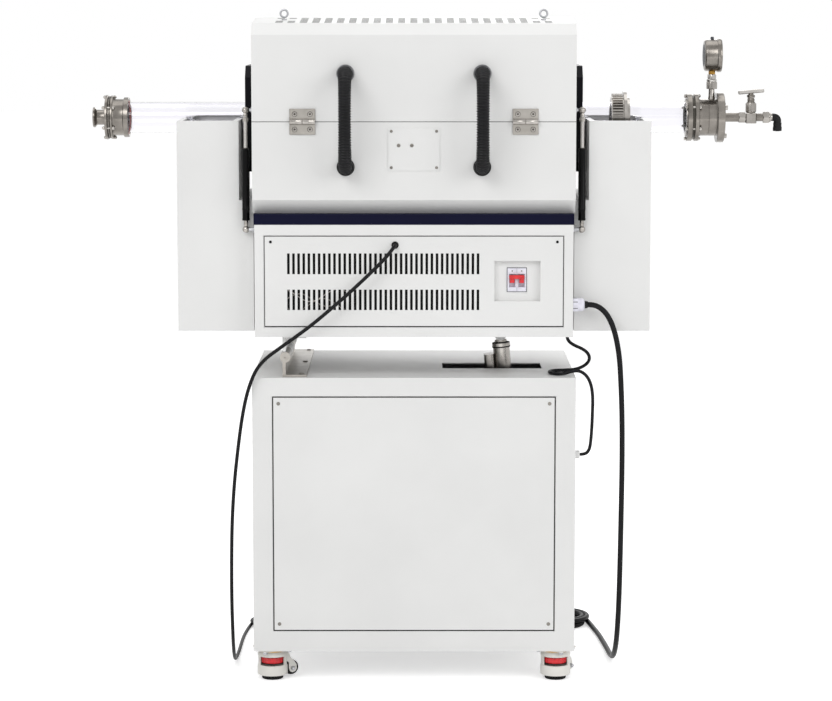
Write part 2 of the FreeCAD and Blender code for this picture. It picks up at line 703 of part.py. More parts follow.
def hinges():
    """Two-knuckle butt hinges across the split; the lower leaf holds the pin."""
    left, right = "hinge_x - hinge_width / 2", "hinge_x + hinge_width / 2"
    near = "-half_depth - hinge_leaf"

    def barrel(low, high):
        return rod("x", "knuckle_radius", (low, "hinge_y", "tube_z"), f"({high}) - ({low})")

    def clearance(low, high):
        return rod("x", "knuckle_radius + 0.4", (low, "hinge_y", "tube_z"), f"({high}) - ({low})")

    lower_leaf = box((left, right), (near, "-half_depth"), ("tube_z - hinge_reach", "tube_z - split_gap"))
    pin = rod("x", "2", (left, "hinge_y", "tube_z"), "hinge_width")
    lower = fuse(cut(fuse(lower_leaf, barrel(left, "hinge_x - 0.15")),
                     clearance("hinge_x - 0.15", f"{right} + 1")), pin)
    keep(pair(lower, "x"), "hinge_leaves_lower")
    upper_leaf = box((left, right), (near, "-half_depth"), ("tube_z + split_gap", "tube_z + hinge_reach"))
    bore = rod("x", "2.05", (f"{left} - 1", "hinge_y", "tube_z"), "hinge_width + 2")
    upper = cut(fuse(upper_leaf, barrel("hinge_x + 0.15", right)),
                clearance(f"{left} - 1", "hinge_x + 0.15"), bore)
    keep(pair(upper, "x"), "hinge_leaves_lid")


def lid_fittings():
    """Conduit glands, lifting eyes, spring studs and the operator's handle, all on the lid."""
    conduit = fuse(rod("y", "16.5", ("hose_x", "-half_depth - 7", "hose_high"), "7"),
                   rod("y", "14.5", ("hose_x", "-half_depth - 18", "hose_high"), "11"))
    ring = doc.addObject("Part::Torus", fresh("Ring"))
    ring.Radius1 = 7
    ring.Radius2 = 2
    ring.Placement = FreeCAD.Placement(V(mm("eye_x"), mm("eye_y"), mm("lid_ridge") + 8),
                                       FreeCAD.Rotation(V(1, 0, 0), 90))
    eye = fuse(ring, rod("z", "eye_radius", ("eye_x", "eye_y", "lid_ridge - 6"), "4"))
    stud = fuse(rod("x", "3", ("shell_half", "spring_y", "spring_high"), "5.5"),
                rod("x", "6", ("shell_half", "spring_y", "spring_high"), "2.5"))
    bar = rod("x", "7", ("-90", "half_depth + 38", "1165"), "180")
    posts = [rod("y", "6", (x, "half_depth", "1165"), "38") for x in ("-80", "80")]
    keep(group(pair(conduit, "x"), pair(eye, "x"), pair(stud, "x"), fuse(bar, *posts)), "lid_fittings")


# ---------------------------------------------------------------- gas springs and conduits
def gas_spring(side, word):
    """Cylinder and rod of one lid spring; local Z runs from the lower ball to the upper one."""
    foot = V(side * mm("spring_x"), mm("spring_y"), mm("spring_low"))
    reach = mm("spring_high") - mm("spring_low")
    barrel = Part.makeCylinder(7.2, 137, V(0, 0, 18)).cut(Part.makeCylinder(3.56, 140, V(0, 0, 30)))
    collar = Part.makeCylinder(7.4, 20, V(0, 0, 18)).cut(Part.makeCylinder(4, 30, V(0, 0, 17)))
    neck = Part.makeCylinder(4, 14, V(0, 0, 6))
    socket = Part.makeSphere(7).cut(Part.makeSphere(5.05))
    socket = socket.cut(Part.makeBox(10, 20, 20, V(-10 if side > 0 else 0, -10, -10)))
    cylinder = barrel.fuse([collar, neck, socket]).removeSplitter()
    keep(plain(cylinder, FreeCAD.Placement(foot, FreeCAD.Rotation())), f"spring_cylinder_{word}")
    bar = Part.makeCylinder(3.5, reach - 60, V(0, 0, 56))
    head = Part.makeSphere(5.8, V(0, 0, reach))
    shank = Part.makeCylinder(4, 12, V(0, 0, reach - 14))
    keep(plain(bar.fuse([head, shank]).removeSplitter(), FreeCAD.Placement(foot, FreeCAD.Rotation())),
         f"spring_rod_{word}")


def rounded_path(points):
    """Straight runs joined by tangent arcs as large as the runs allow; returns wire and radii."""
    edges, radii = [], []
    start = V(*points[0])
    for before, corner, after in zip(points, points[1:], points[2:]):
        before, corner, after = V(*before), V(*corner), V(*after)
        into, out = corner - before, after - corner
        shorter = min(into.Length, out.Length)
        half_turn = into.getAngle(out) / 2
        setback = 0.45 * shorter
        radii.append(setback / math.tan(half_turn))
        enter = corner - into.normalize() * setback
        leave = corner + out.normalize() * setback
        middle = corner + (out - into).normalize() * (radii[-1] / math.cos(half_turn) - radii[-1])
        edges.append(Part.LineSegment(start, enter).toShape())
        edges.append(Part.Arc(enter, middle, leave).toShape())
        start = leave
    edges.append(Part.LineSegment(start, V(*points[-1])).toShape())
    return Part.Wire(edges), radii


def tube_along(points, radius, report=None):
    """A round cord or hose along a hand-laid route."""
    path, radii = rounded_path(points)
    direction = V(*points[1]) - V(*points[0])
    section = Part.Wire(Part.makeCircle(radius, V(*points[0]), direction))
    solid = path.makePipeShell([section], True, True, 2)
    if report:
        expected = math.pi * radius ** 2 * path.Length
        print(report, "radii", [round(r) for r in radii], "length", round(path.Length),
              "volume ratio", round(solid.Volume / expected, 4))
    return solid


def conduit_hoses():
    x, front = mm("hose_x"), -mm("half_depth")
    high, low = mm("hose_high"), mm("hose_low")
    route = [(x, front - 18, high), (x, front - 48, high), (x, front - 66, high - 36),
             (x, front - 70, high - 88), (x, front - 66, low + 36), (x, front - 48, low),
             (x, front - 18, low)]
    hose = plain(tube_along(route, mm("hose_radius"), "conduit_hoses"))
    keep(pair(hose, "x"), "conduit_hoses")


# ---------------------------------------------------------------- wings and drive
def wing(side, word):
    """Open-topped housing beside the furnace that takes the tube's bearing."""
    outer, inner, root = "wing_outer", "wing_inner", "shell_half"
    gauge = "sheet_gauge"
    deep = "wing_half_depth"
    top = "tube_z"
    skin = fuse(box((inner, outer), (f"-{deep}", deep), ("wing_notch", top)),
                box((root, outer), (f"-{deep}", deep), ("wing_bottom", "wing_notch")))
    hollow = fuse(
        box((f"{inner} + {gauge}", f"{outer} - {gauge}"), (f"-{deep} + {gauge}", f"{deep} - {gauge}"),
            ("wing_bottom + 2", f"{top} - {gauge}")),
        box((f"{root} + {gauge}", f"{outer} - {gauge}"), (f"-{deep} + {gauge}", f"{deep} - {gauge}"),
            (f"wing_bottom + {gauge}", f"wing_notch - {gauge}")))
    mouth = box((f"{inner} + 11", f"{outer} - 11"), (f"-{deep} + 11", f"{deep} - 11"),
                (f"{top} - 10", f"{top} + 10"))
    notch = rod("x", "tube_radius + 4", (f"{inner} - 5", "0", top), "130")
    shape = cut(skin, hollow, mouth, notch)
    keep(shape if side > 0 else mirrored(shape, "x"), f"wing_{word}")


def bearings():
    """Cradles that the quartz tube turns in, one at each wall of each wing."""
    blocks = []
    for low, high in (("wing_inner + 2", "wing_inner + 14"), ("wing_outer - 14", "wing_outer - 2")):
        block = box((low, high), ("-44", "44"), ("tube_z - 37", "tube_z - 2"))
        blocks.append(cut(block, rod("x", "tube_radius + running_gap", (f"{low} - 1", "0", "tube_z"), "14")))
    keep(group(*[pair(block, "x") for block in blocks]), "tube_bearings")


def gear_outline(teeth, module, backlash=0.12):
    """A closed outline of a spur gear with straight-flanked teeth."""
    pitch = module * teeth / 2
    points = []
    step = 2 * math.pi / teeth
    for tooth in range(teeth):
        middle = tooth * step
        for radius, share in ((pitch - 1.25 * module, -0.36), (pitch + module, -0.13),
                              (pitch + module, 0.13), (pitch - 1.25 * module, 0.36)):
            angle = middle + share * step - math.copysign(backlash / radius / 2, share)
            points.append((radius * math.cos(angle), radius * math.sin(angle)))
    return points


def gear(label, teeth, bore, centre_z, turn, extra):
    """A spur gear round a bore, with any collars fused to its side."""
    points = [V(0, y, z) for y, z in gear_outline(teeth, mm("gear_module"))]
    face = Part.Face(Part.Wire(Part.makePolygon(points + points[:1])))
    width = mm("gear_right") - mm("gear_left")
    solid = face.extrude(V(width, 0, 0))
    solid = solid.fuse(list(extra))
    if bore:
        solid = solid.cut(Part.makeCylinder(bore, 200, V(-100, 0, 0), V(1, 0, 0)))
    place = FreeCAD.Placement(V(mm("gear_left"), 0, centre_z), FreeCAD.Rotation(V(1, 0, 0), turn))
    return keep(plain(solid.removeSplitter(), place), label)


def drive():
    ring_pitch = mm("gear_module") * mm("gear_teeth") / 2
    pinion_pitch = mm("gear_module") * mm("pinion_teeth") / 2
    rim = Part.makeCylinder(52, 6, V(22, 0, 0), V(1, 0, 0))
    boss = Part.makeCylinder(40, 36, V(-2, 0, 0), V(1, 0, 0))
    gear("tube_gear", int(mm("gear_teeth")), mm("tube_radius"), mm("tube_z"), 90, (rim, boss))
    axle = mm("tube_z") - ring_pitch - pinion_pitch
    hub = Part.makeCylinder(9, 24, V(-5, 0, 0), V(1, 0, 0))
    shaft = Part.makeCylinder(4, 32, V(-12, 0, 0), V(1, 0, 0))
    gear("drive_pinion", int(mm("pinion_teeth")), 0, axle, 90, (hub, shaft))
    motor = cut(rod("x", "23", ("wing_inner + 2", "0", str(axle)), "44"),
                rod("x", "4.05", ("wing_inner + 40", "0", str(axle)), "7"))
    keep(motor, "drive_motor")


# ---------------------------------------------------------------- tube and its flanges
def tube():
    outer = rod("x", "tube_radius", ("tube_left", "0", "tube_z"), "tube_right - tube_left")
    inner = rod("x", "tube_radius - tube_wall", ("tube_left - 1", "0", "tube_z"), "tube_right - tube_left + 2")
    keep(cut(outer, inner), "quartz_tube")


def bolt_circle(left, length, radius, count, across):
    """Hexagon-headed bolts through a pair of rings, evenly round the tube's axis."""
    bolts = []
    for index in range(count):
        angle = math.radians(90 + 360 * index / count)
        y, z = radius * math.cos(angle), radius * math.sin(angle)
        bolts.append(fuse(rod("x", across / 2.6, (left, str(y), f"tube_z + {z}"), length),
                          hexagon("x", across, (left, str(y), f"tube_z + {z}"), across * 0.5),
                          hexagon("x", across, (left + length - across * 0.5, str(y), f"tube_z + {z}"),
                                  across * 0.5)))
    return bolts


def left_flange():
    gap = mm("running_gap")
    hole = mm("tube_radius") + gap
    sleeve = turned([(-602, hole), (-563, hole), (-563, 39.5), (-573, 39.5), (-573, 36.5), (-594, 36.5),
                     (-594, 43), (-598.5, 43), (-598.5, 36), (-602, 36)])
    ring = turned([(-634, 11), (-634, 20), (-630, 20), (-627, 17), (-627, 15), (-611, 15), (-608, 17),
                   (-608, 43), (-603.5, 43), (-603.5, 36), (-602, 36), (-602, 11)])
    keep(group(sleeve, ring, *bolt_circle(-613, 23, 39.7, 6, 6)), "left_flange")


def right_flange():
    hole = mm("tube_radius") + mm("running_gap")
    sleeve = turned([(536, hole), (551, hole), (551, 36.5), (549, 36.5), (549, 47), (538, 47),
                     (538, 37), (536, 37)])
    cap = turned([(551, 11), (551, 47), (562, 47), (562, 36.5), (589, 36.5), (589, 50), (616, 50), (616, 9),
                  (642, 9), (642, 3), (600, 3), (600, 11)])
    port = rod("z", "7 + running_gap", ("588", "0", "tube_z + 34"), "20")
    keep(group(sleeve, cut(cap, port), *bolt_circle(532, 36, 42, 6, 6)), "right_flange")


def gauge():
    """Pressure gauge above the right flange, with its stem, dial side to +X."""
    stem = fuse(rod("z", "7", ("588", "0", "tube_z + 34"), "16"),
                rod("z", "7", ("588", "0", "tube_z + 50"), "8", "Part::Cone", "6"),
                hexagon("z", "21.6", ("588", "0", "1147"), "15"),
                hexagon("z", "16.6", ("588", "0", "1162"), "13"),
                rod("z", "6", ("588", "0", "1175"), "8"))
    case = doc.addObject("PartDesign::Body", fresh("GaugeCase"))
    profile = sketch(case, "XZ_Plane")
    outline(profile, [(572, 0), (572, 29), (576, 31.5), (596, 31.5), (598, 32.8), (606, 32.8), (606, 29),
                      (603, 28), (590, 28), (590, 0)])
    revolve(case, profile)
    bind(case, "Placement.Base.z", "1211")
    spindle = rod("x", "1", ("590", "0", "1211"), "3")
    keep(fuse(stem, case, spindle), "gauge")
    needle = cut(fuse(rod("x", "3", ("590.5", "0", "1211"), "3"),
                      box(("592", "593"), ("-1", "1"), ("1203", "1234"))),
                 rod("x", "1.05", ("590", "0", "1211"), "3.2"))
    at_zero = FreeCAD.Rotation(V(1, 0, 0), 135)
    needle.Placement = FreeCAD.Placement(V(0, 0, 0), at_zero, V(0, 0, 1211))
    keep(needle, "gauge_pointer")


def valve():
    """Needle valve, outlet adapter and black push-in elbow in line with the tube."""
    run = [hexagon("x", "20", ("642", "0", "tube_z"), "13"),
           rod("x", "6", ("655", "0", "tube_z"), "36"),
           box(("655", "677"), ("-10.5", "10.5"), ("tube_z - 10.5", "tube_z + 10.5")),
           hexagon("x", "20", ("691", "0", "tube_z"), "15"),
           rod("x", "6", ("706", "0", "tube_z"), "8")]
    bonnet = [hexagon("z", "16", ("666", "0", "tube_z + 10.5"), "12"),
              rod("z", "6", ("666", "0", "tube_z + 22.5"), "20")]
    elbow = fuse(rod("x", "8", ("710", "0", "tube_z"), "10"),
                 ball("9", ("719", "0", "tube_z")),
                 rod("z", "9", ("719", "0", "tube_z - 27"), "27"))
    keep(group(fuse(*run, *bonnet, elbow)), "valve_body")
    spindle = cut(rod("z", "8", ("666", "0", "1128"), "20"),
                  rod("z", "6.05", ("666", "0", "1127"), "4.6"))
    bar = rod("x", "5", ("640", "0", "1141"), "52")
    keep(fuse(spindle, bar), "valve_handle")


# ---------------------------------------------------------------- cords
def coil(across, middle, thick):
    """The outer shape of a put-away coil, its turns two abreast and two high, lying on the floor."""
    x, y = middle
    outer = rod("z", across / 2 + thick, (str(x), str(y), "0"), 2 * thick)
    return cut(outer, rod("z", across / 2 - thick, (str(x), str(y), "-1"), 2 * thick + 2))


def cords():
    """Three free cords, each a smooth tube from its gland to where it ends or is coiled up."""
    sensor = [(-36, -222, 854), (-36, -230, 854), (-42, -240, 846), (-56, -244, 829), (-84, -243, 801),
              (-119, -242, 768), (-160, -242, 732), (-202, -241, 697), (-248, -238, 664),
              (-297, -234, 628), (-318, -230, 580), (-330, -226, 526), (-339, -222, 462),
              (-347, -218, 392), (-352, -214, 318), (-354, -208, 242), (-355, -198, 166),
              (-355, -178, 98), (-356, -138, 44), (-357, -84, 14), (-357, -24, 5), (-356, 40, 4),
              (-356, 106, 4), (-355, 172, 4), (-351, 234, 4), (-342, 286, 4)]
    mains = [(334, -205, 738), (346, -205, 738), (360, -206, 731), (372, -207, 718), (382, -207, 698),
             (390, -206, 670), (396, -205, 634), (399, -203, 590), (402, -202, 524), (403, -201, 430),
             (402, -201, 336), (401, -199, 244), (400, -192, 164), (399, -174, 100), (398, -138, 50),
             (397, -86, 20), (396, -24, 8), (394, 44, 6), (390, 112, 6), (385, 182, 6), (379, 248, 6),
             (364, 306, 6)]
    link = [(297, -150, 677), (297, -150, 668), (302, -150, 659), (313, -149, 652), (327, -147, 646),
            (339, -144, 637), (343, -140, 625), (337, -136, 614), (324, -133, 606), (308, -131, 602),
            (292, -131, 601.6), (277, -134, 601.6), (266, -144, 601.6), (262, -160, 601.6),
            (267, -177, 601.6), (279, -189, 601.6), (292, -193, 603), (305, -195, 608), (319, -196, 609),
            (331, -197, 602), (339, -198, 590), (343.5, -198, 575), (345.5, -198, 556), (345, -198, 528),
            (344, -198, 498), (342, -198, 470), (339.5, -198, 455), (332, -198, 446), (320.5, -198, 446)]
    sensor_coil = coil(78, (-303, 286), 7)
    keep(cut(plain(tube_along(sensor, 3.5, "sensor_cable")), sensor_coil), "sensor_cable")
    mains_coil = coil(116, (306, 310), 10.4)
    keep(cut(plain(tube_along(mains, 5.2, "mains_cable")), mains_coil), "mains_cable")
    keep(plain(tube_along(link, 3.2, "link_cable")), "link_cable")
    mains_plug = fuse(box(("190", "224"), ("226", "274"), ("0", "30")),
                      rod("y", "5", ("207", "274", "8"), "6"),
                      box(("204", "210"), ("206", "226"), ("9", "11")))
    sensor_plug = box(("-245", "-227"), ("234", "266"), ("0", "12"))
    keep(group(mains_plug, sensor_plug, sensor_coil, mains_coil), "cable_plugs")


# ---------------------------------------------------------------- build and write
def main():
    cart()
    cart_screws()
    cart_brackets()
    casters()
    actuator()
    control_box()
    vent_panel()
    breaker()
    front_panel()
    box_fasteners()
    glands()
    furnace()
    hinges()
    lid_fittings()
    for side, word in ((-1, "left"), (1, "right")):
        gas_spring(side, word)
        wing(side, word)
    conduit_hoses()
    bearings()
    drive()
    tube()
    left_flange()
    right_flange()
    gauge()
    valve()
    cords()
    doc.recompute()
    for thing in doc.Objects:
        if "Invalid" in thing.State or "Error" in thing.State:
            raise RuntimeError(f"{thing.Name} ({thing.Label}) failed: {thing.State}")
    os.makedirs("parts", exist_ok=True)
    for label, thing in nodes.items():
        if thing.Shape.isNull() or not thing.Shape.isValid():
            raise RuntimeError(f"{label} has no valid shape")
    for label, thing in nodes.items():
        thing.Shape.exportStep(f"parts/{label}.step")
    print(len(nodes), "nodes")


main()
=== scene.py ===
"""A tilting rotary tube furnace on a cabinet cart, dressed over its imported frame. Metres throughout."""
import json
import math
import bmesh
import bpy
import numpy as np
from mathutils import Matrix, Vector
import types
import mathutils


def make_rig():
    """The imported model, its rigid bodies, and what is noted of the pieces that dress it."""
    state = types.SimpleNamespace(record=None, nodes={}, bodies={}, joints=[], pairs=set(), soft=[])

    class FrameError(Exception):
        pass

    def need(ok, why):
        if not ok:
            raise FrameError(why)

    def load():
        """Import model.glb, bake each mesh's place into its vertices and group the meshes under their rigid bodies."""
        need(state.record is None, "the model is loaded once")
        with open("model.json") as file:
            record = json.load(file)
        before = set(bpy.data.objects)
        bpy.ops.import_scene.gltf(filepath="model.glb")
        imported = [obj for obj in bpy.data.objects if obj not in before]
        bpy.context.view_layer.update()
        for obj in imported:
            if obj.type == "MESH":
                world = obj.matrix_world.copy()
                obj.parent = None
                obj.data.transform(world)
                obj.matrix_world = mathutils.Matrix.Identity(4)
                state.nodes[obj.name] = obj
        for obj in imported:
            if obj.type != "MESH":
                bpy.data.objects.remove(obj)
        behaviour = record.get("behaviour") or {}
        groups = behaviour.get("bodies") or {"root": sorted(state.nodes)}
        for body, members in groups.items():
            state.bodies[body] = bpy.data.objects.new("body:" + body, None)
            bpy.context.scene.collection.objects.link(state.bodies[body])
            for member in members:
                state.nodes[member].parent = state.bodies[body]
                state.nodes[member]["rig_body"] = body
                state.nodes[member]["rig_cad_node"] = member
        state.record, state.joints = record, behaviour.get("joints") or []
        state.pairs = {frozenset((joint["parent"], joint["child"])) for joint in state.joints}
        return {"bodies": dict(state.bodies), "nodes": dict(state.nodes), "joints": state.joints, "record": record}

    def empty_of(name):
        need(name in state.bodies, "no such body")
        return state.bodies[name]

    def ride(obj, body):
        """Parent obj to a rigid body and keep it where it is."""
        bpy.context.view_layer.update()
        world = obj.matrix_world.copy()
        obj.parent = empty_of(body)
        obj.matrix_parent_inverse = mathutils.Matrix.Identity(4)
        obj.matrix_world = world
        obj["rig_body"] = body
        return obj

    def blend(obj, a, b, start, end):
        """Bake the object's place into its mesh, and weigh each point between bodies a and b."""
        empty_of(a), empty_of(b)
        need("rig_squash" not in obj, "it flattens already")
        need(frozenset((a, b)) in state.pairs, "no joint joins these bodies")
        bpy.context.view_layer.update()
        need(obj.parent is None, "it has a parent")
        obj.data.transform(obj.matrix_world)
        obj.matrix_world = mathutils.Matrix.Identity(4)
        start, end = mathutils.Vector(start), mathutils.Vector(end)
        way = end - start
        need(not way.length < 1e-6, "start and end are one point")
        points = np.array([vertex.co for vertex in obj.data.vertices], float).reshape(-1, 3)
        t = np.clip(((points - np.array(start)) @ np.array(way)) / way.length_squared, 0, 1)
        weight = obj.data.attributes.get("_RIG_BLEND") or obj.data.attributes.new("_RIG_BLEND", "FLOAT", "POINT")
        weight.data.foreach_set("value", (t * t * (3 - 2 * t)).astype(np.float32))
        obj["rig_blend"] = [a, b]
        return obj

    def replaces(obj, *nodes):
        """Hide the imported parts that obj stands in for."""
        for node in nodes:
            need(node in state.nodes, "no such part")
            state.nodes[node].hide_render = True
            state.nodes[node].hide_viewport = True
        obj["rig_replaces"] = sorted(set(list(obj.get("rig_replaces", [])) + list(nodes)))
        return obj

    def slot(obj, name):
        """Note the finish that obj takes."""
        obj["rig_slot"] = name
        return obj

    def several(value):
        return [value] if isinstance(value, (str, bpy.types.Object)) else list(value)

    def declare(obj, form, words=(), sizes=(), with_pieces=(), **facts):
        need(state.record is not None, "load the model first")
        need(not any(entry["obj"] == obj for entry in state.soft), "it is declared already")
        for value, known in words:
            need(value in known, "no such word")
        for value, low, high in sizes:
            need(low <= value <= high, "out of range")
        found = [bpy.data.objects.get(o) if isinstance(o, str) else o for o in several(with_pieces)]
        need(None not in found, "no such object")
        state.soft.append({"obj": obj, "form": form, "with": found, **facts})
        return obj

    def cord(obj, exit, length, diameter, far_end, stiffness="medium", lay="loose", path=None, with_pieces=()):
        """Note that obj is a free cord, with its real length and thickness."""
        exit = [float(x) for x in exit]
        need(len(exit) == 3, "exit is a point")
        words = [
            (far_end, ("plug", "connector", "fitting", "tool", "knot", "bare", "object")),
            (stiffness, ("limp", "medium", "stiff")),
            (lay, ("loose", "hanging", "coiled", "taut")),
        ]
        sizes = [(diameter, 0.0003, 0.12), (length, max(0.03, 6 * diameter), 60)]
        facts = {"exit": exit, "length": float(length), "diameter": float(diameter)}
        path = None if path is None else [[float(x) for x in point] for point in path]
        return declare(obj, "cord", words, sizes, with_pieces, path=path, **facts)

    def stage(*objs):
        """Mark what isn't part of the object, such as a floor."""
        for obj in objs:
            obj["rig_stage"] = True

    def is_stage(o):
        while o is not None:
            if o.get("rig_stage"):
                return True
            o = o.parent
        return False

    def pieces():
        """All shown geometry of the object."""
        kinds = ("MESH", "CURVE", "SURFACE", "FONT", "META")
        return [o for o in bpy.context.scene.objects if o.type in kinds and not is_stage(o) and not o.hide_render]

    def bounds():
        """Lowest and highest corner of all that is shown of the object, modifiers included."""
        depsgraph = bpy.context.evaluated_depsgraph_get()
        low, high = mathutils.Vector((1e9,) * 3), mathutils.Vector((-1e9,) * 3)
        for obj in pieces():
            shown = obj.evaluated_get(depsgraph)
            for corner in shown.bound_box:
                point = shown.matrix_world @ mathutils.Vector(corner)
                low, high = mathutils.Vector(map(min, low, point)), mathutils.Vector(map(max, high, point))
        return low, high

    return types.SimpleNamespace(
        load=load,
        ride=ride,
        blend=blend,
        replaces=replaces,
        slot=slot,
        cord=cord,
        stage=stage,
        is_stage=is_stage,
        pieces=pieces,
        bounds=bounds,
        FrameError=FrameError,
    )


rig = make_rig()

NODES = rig.load()["nodes"]
cad_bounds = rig.bounds()

MM = 0.001
FACE = -220  # the flat near side of the housings, in millimetres
SIDES = ((-1, "left"), (1, "right"))


# --- colours and nodes
def colour(hex_value):
    """sRGB hex to the linear values that a shader reads: undo the display curve channel by channel."""
    channels = [int(hex_value[index:index + 2], 16) / 255 for index in (1, 3, 5)]
    linear = [c / 12.92 if c <= 0.04045 else ((c + 0.055) / 1.055) ** 2.4 for c in channels]
    return (*linear, 1.0)


def add(tree, kind, settings=None, inputs=None):
    """Add one shader node, set its properties and sockets, and link any socket given as an output."""
    node = tree.nodes.new("ShaderNode" + kind)
    for name, value in (settings or {}).items():
        setattr(node, name, value)
    for name, value in (inputs or {}).items():
        socket = node.inputs[name]
        if isinstance(value, bpy.types.NodeSocket):
            tree.links.new(value, socket)
        else:
            socket.default_value = value
    return node


def blobs(tree, size, detail=3.0, roughness=0.5, stretch=(1, 1, 1)):
    """Cloudy noise from 0 to 1 on object coordinates, whose blobs are about size metres across and
    longer along an axis whose stretch is small."""
    spot = add(tree, "TexCoord").outputs["Object"]
    spot = add(tree, "Mapping", inputs={"Vector": spot, "Scale": stretch}).outputs["Vector"]
    return add(tree, "TexNoise", inputs={"Vector": spot, "Scale": 1 / size, "Detail": detail,
                                         "Roughness": roughness}).outputs["Fac"]


def material(name, shade=None, gloss=None, relief=None, turns=(0.3, 0.7), **sockets):
    """One Principled shader with fixed sockets and up to three that follow a pattern. Shade is a dark
    and a light colour, gloss the least and greatest roughness, relief a height in metres and a
    strength. Each goes on with its pattern's numbers. The colour turns between the values in turns."""
    made = bpy.data.materials.new(name)
    made.use_nodes = True
    tree = made.node_tree
    shader = tree.nodes["Principled BSDF"]
    for socket, value in sockets.items():
        shader.inputs[socket.replace("_", " ")].default_value = value
    if shade:
        dark, light, *pattern = shade
        ramp = add(tree, "ValToRGB", inputs={"Fac": blobs(tree, *pattern)})
        for stop, at, tone in zip(ramp.color_ramp.elements, turns, (dark, light)):
            stop.position, stop.color = at, colour(tone)
        tree.links.new(ramp.outputs["Color"], shader.inputs["Base Color"])
    if gloss:
        least, most, *pattern = gloss
        spread = add(tree, "MapRange", inputs={"Value": blobs(tree, *pattern), "To Min": least, "To Max": most})
        tree.links.new(spread.outputs["Result"], shader.inputs["Roughness"])
    if relief:
        height, strength, *pattern = relief
        bump = add(tree, "Bump", inputs={"Height": blobs(tree, *pattern), "Distance": height, "Strength": strength})
        tree.links.new(bump.outputs["Normal"], shader.inputs["Normal"])
    return made


# --- finishes
def powder_coat(name, dark, light, roughness=0.42, sheen=0.5):
    """Textured polyester powder coat on sheet steel: even colour with a fine orange peel, about
    1.8 mm from crest to crest, and a soft broad sheen."""
    return material(name, shade=(dark, light, 0.22), gloss=(roughness - 0.05, roughness + 0.06, 0.035),
                    relief=(0.00004, 0.35, 0.0018, 2), IOR=1.5, Specular_IOR_Level=sheen)


def brushed_steel(name, dark, light, stretch, roughness=0.3, grain=0.0006):
    """Stainless or plated steel with a fine grain left by turning or brushing, 0.6 mm wide and drawn
    out along it, which pulls a highlight into a soft streak."""
    fine = (grain, 4, 0.6, stretch)
    return material(name, shade=(dark, light, 0.03), gloss=(roughness - 0.09, roughness + 0.12, *fine),
                    relief=(0.00003, 0.3, *fine), turns=(0.25, 0.75), Metallic=1.0)


def moulded(name, dark, light, roughness=0.5, sheen=0.5):
    """Moulded or extruded plastic or rubber: a faint grain 1.2 mm wide and a cloudy sheen."""
    return material(name, shade=(dark, light, 0.012), gloss=(roughness - 0.06, roughness + 0.08, 0.006),
                    relief=(0.00003, 0.4, 0.0012, 2), IOR=1.5, Specular_IOR_Level=sheen)


def fused_quartz(tint, density):
    """Clear fused quartz: low index, nearly colourless, with faint drawing streaks along the tube. It
    takes up a little light along its depth, so that its edges show."""
    streak = (0.02, 2, 0.5, (0.05, 1, 1))
    made = material("clear_fused_quartz", shade=("#FDFCFE", "#FEFEFF", *streak), gloss=(0.0, 0.001, *streak),
                    IOR=1.458, Transmission_Weight=1.0)
    tree = made.node_tree
    depth = add(tree, "VolumeAbsorption", inputs={"Color": colour(tint), "Density": density})
    tree.links.new(depth.outputs["Volume"], tree.nodes["Material Output"].inputs["Volume"])
    return made


WHITE = powder_coat("white_powder_coated_steel", "#DEDEDD", "#E4E4E3")
NAVY = powder_coat("navy_powder_coated_steel", "#02031E", "#050728", 0.36, 0.1)
END_BLACK = powder_coat("black_blue_powder_coated_steel", "#030308", "#06060E", 0.36, 0.1)
TURNED = brushed_steel("turned_stainless_steel", "#65615C", "#908B85", (0.1, 1, 1), 0.22)
SATIN = brushed_steel("satin_stainless_sheet", "#8F8B85", "#ABA7A1", (0.05, 1, 1), 0.34)
ZINC = brushed_steel("bright_zinc_plate", "#98999C", "#B9BABD", (1, 1, 1), 0.28, 0.003)
CAST_ALUMINIUM = brushed_steel("anodised_aluminium", "#8D8E90", "#A8A9AB", (1, 1, 0.1), 0.38)
QUARTZ = fused_quartz("#A9A6CE", 16.0)
# Vacuum-formed ceramic fibre: matt off-white, felted, slightly scorched near the chamber.
FIBRE = material("ceramic_fibre_board", shade=("#DCD6CA", "#F2EFE8", 0.02, 6, 0.7),
                 relief=(0.0006, 0.7, 0.0025, 5, 0.7), Roughness=0.95)
CONDUIT = moulded("black_polyamide_conduit", "#040405", "#0B0B0F", 0.36, sheen=0.22)
CABLE = moulded("black_pvc_cable", "#050506", "#0D0D11", 0.42, sheen=0.18)
BLACK_PLASTIC = moulded("black_nylon", "#060607", "#0E0E10", 0.4, sheen=0.2)
# Black rubber, also given to the dark strips and pad that are painted shade.
BLACK_RUBBER_AND_SHADE = moulded("black_rubber", "#080808", "#101010", 0.75, sheen=0.25)
GLOSS_BLACK = powder_coat("black_gloss_enamel", "#020203", "#050506", 0.24, 0.12)
BREAKER_WHITE = moulded("white_thermoset_moulding", "#DAD9E4", "#E9E8F2", 0.4)
RED_PLASTIC = moulded("red_moulded_plastic", "#C3121C", "#EC2A30", 0.3)
CAST_WHITE = powder_coat("painted_die_casting", "#DAD8D2", "#E8E6E0", 0.4)
BRASS = brushed_steel("turned_brass", "#9A7436", "#C49A52", (1, 1, 0.1), 0.28)
NICKEL = brushed_steel("bright_nickel_plate", "#ABA8A4", "#C8C5C1", (1, 1, 0.1), 0.2)
PALE_STEEL = brushed_steel("polished_stainless_steel", "#8E8A85", "#B5B1AC", (0.1, 1, 1), 0.2)
DULL_STEEL = brushed_steel("dull_screw_steel", "#6F6C67", "#8F8B85", (1, 1, 1), 0.4)
# Darkened steel for rings and discs in grooves, sockets and windows: painted shade where light doesn't reach.
GAP_SHADE_STEEL = brushed_steel("steel_with_painted_gap_shade", "#3A3834", "#55524D", (0.2, 1, 1), 0.4)
RED_SEAL = moulded("red_silicone_seal", "#9E1418", "#C42A2C", 0.5)
DIAL_WHITE = moulded("white_printed_dial", "#F4F4F2", "#FAFAF8", 0.6)
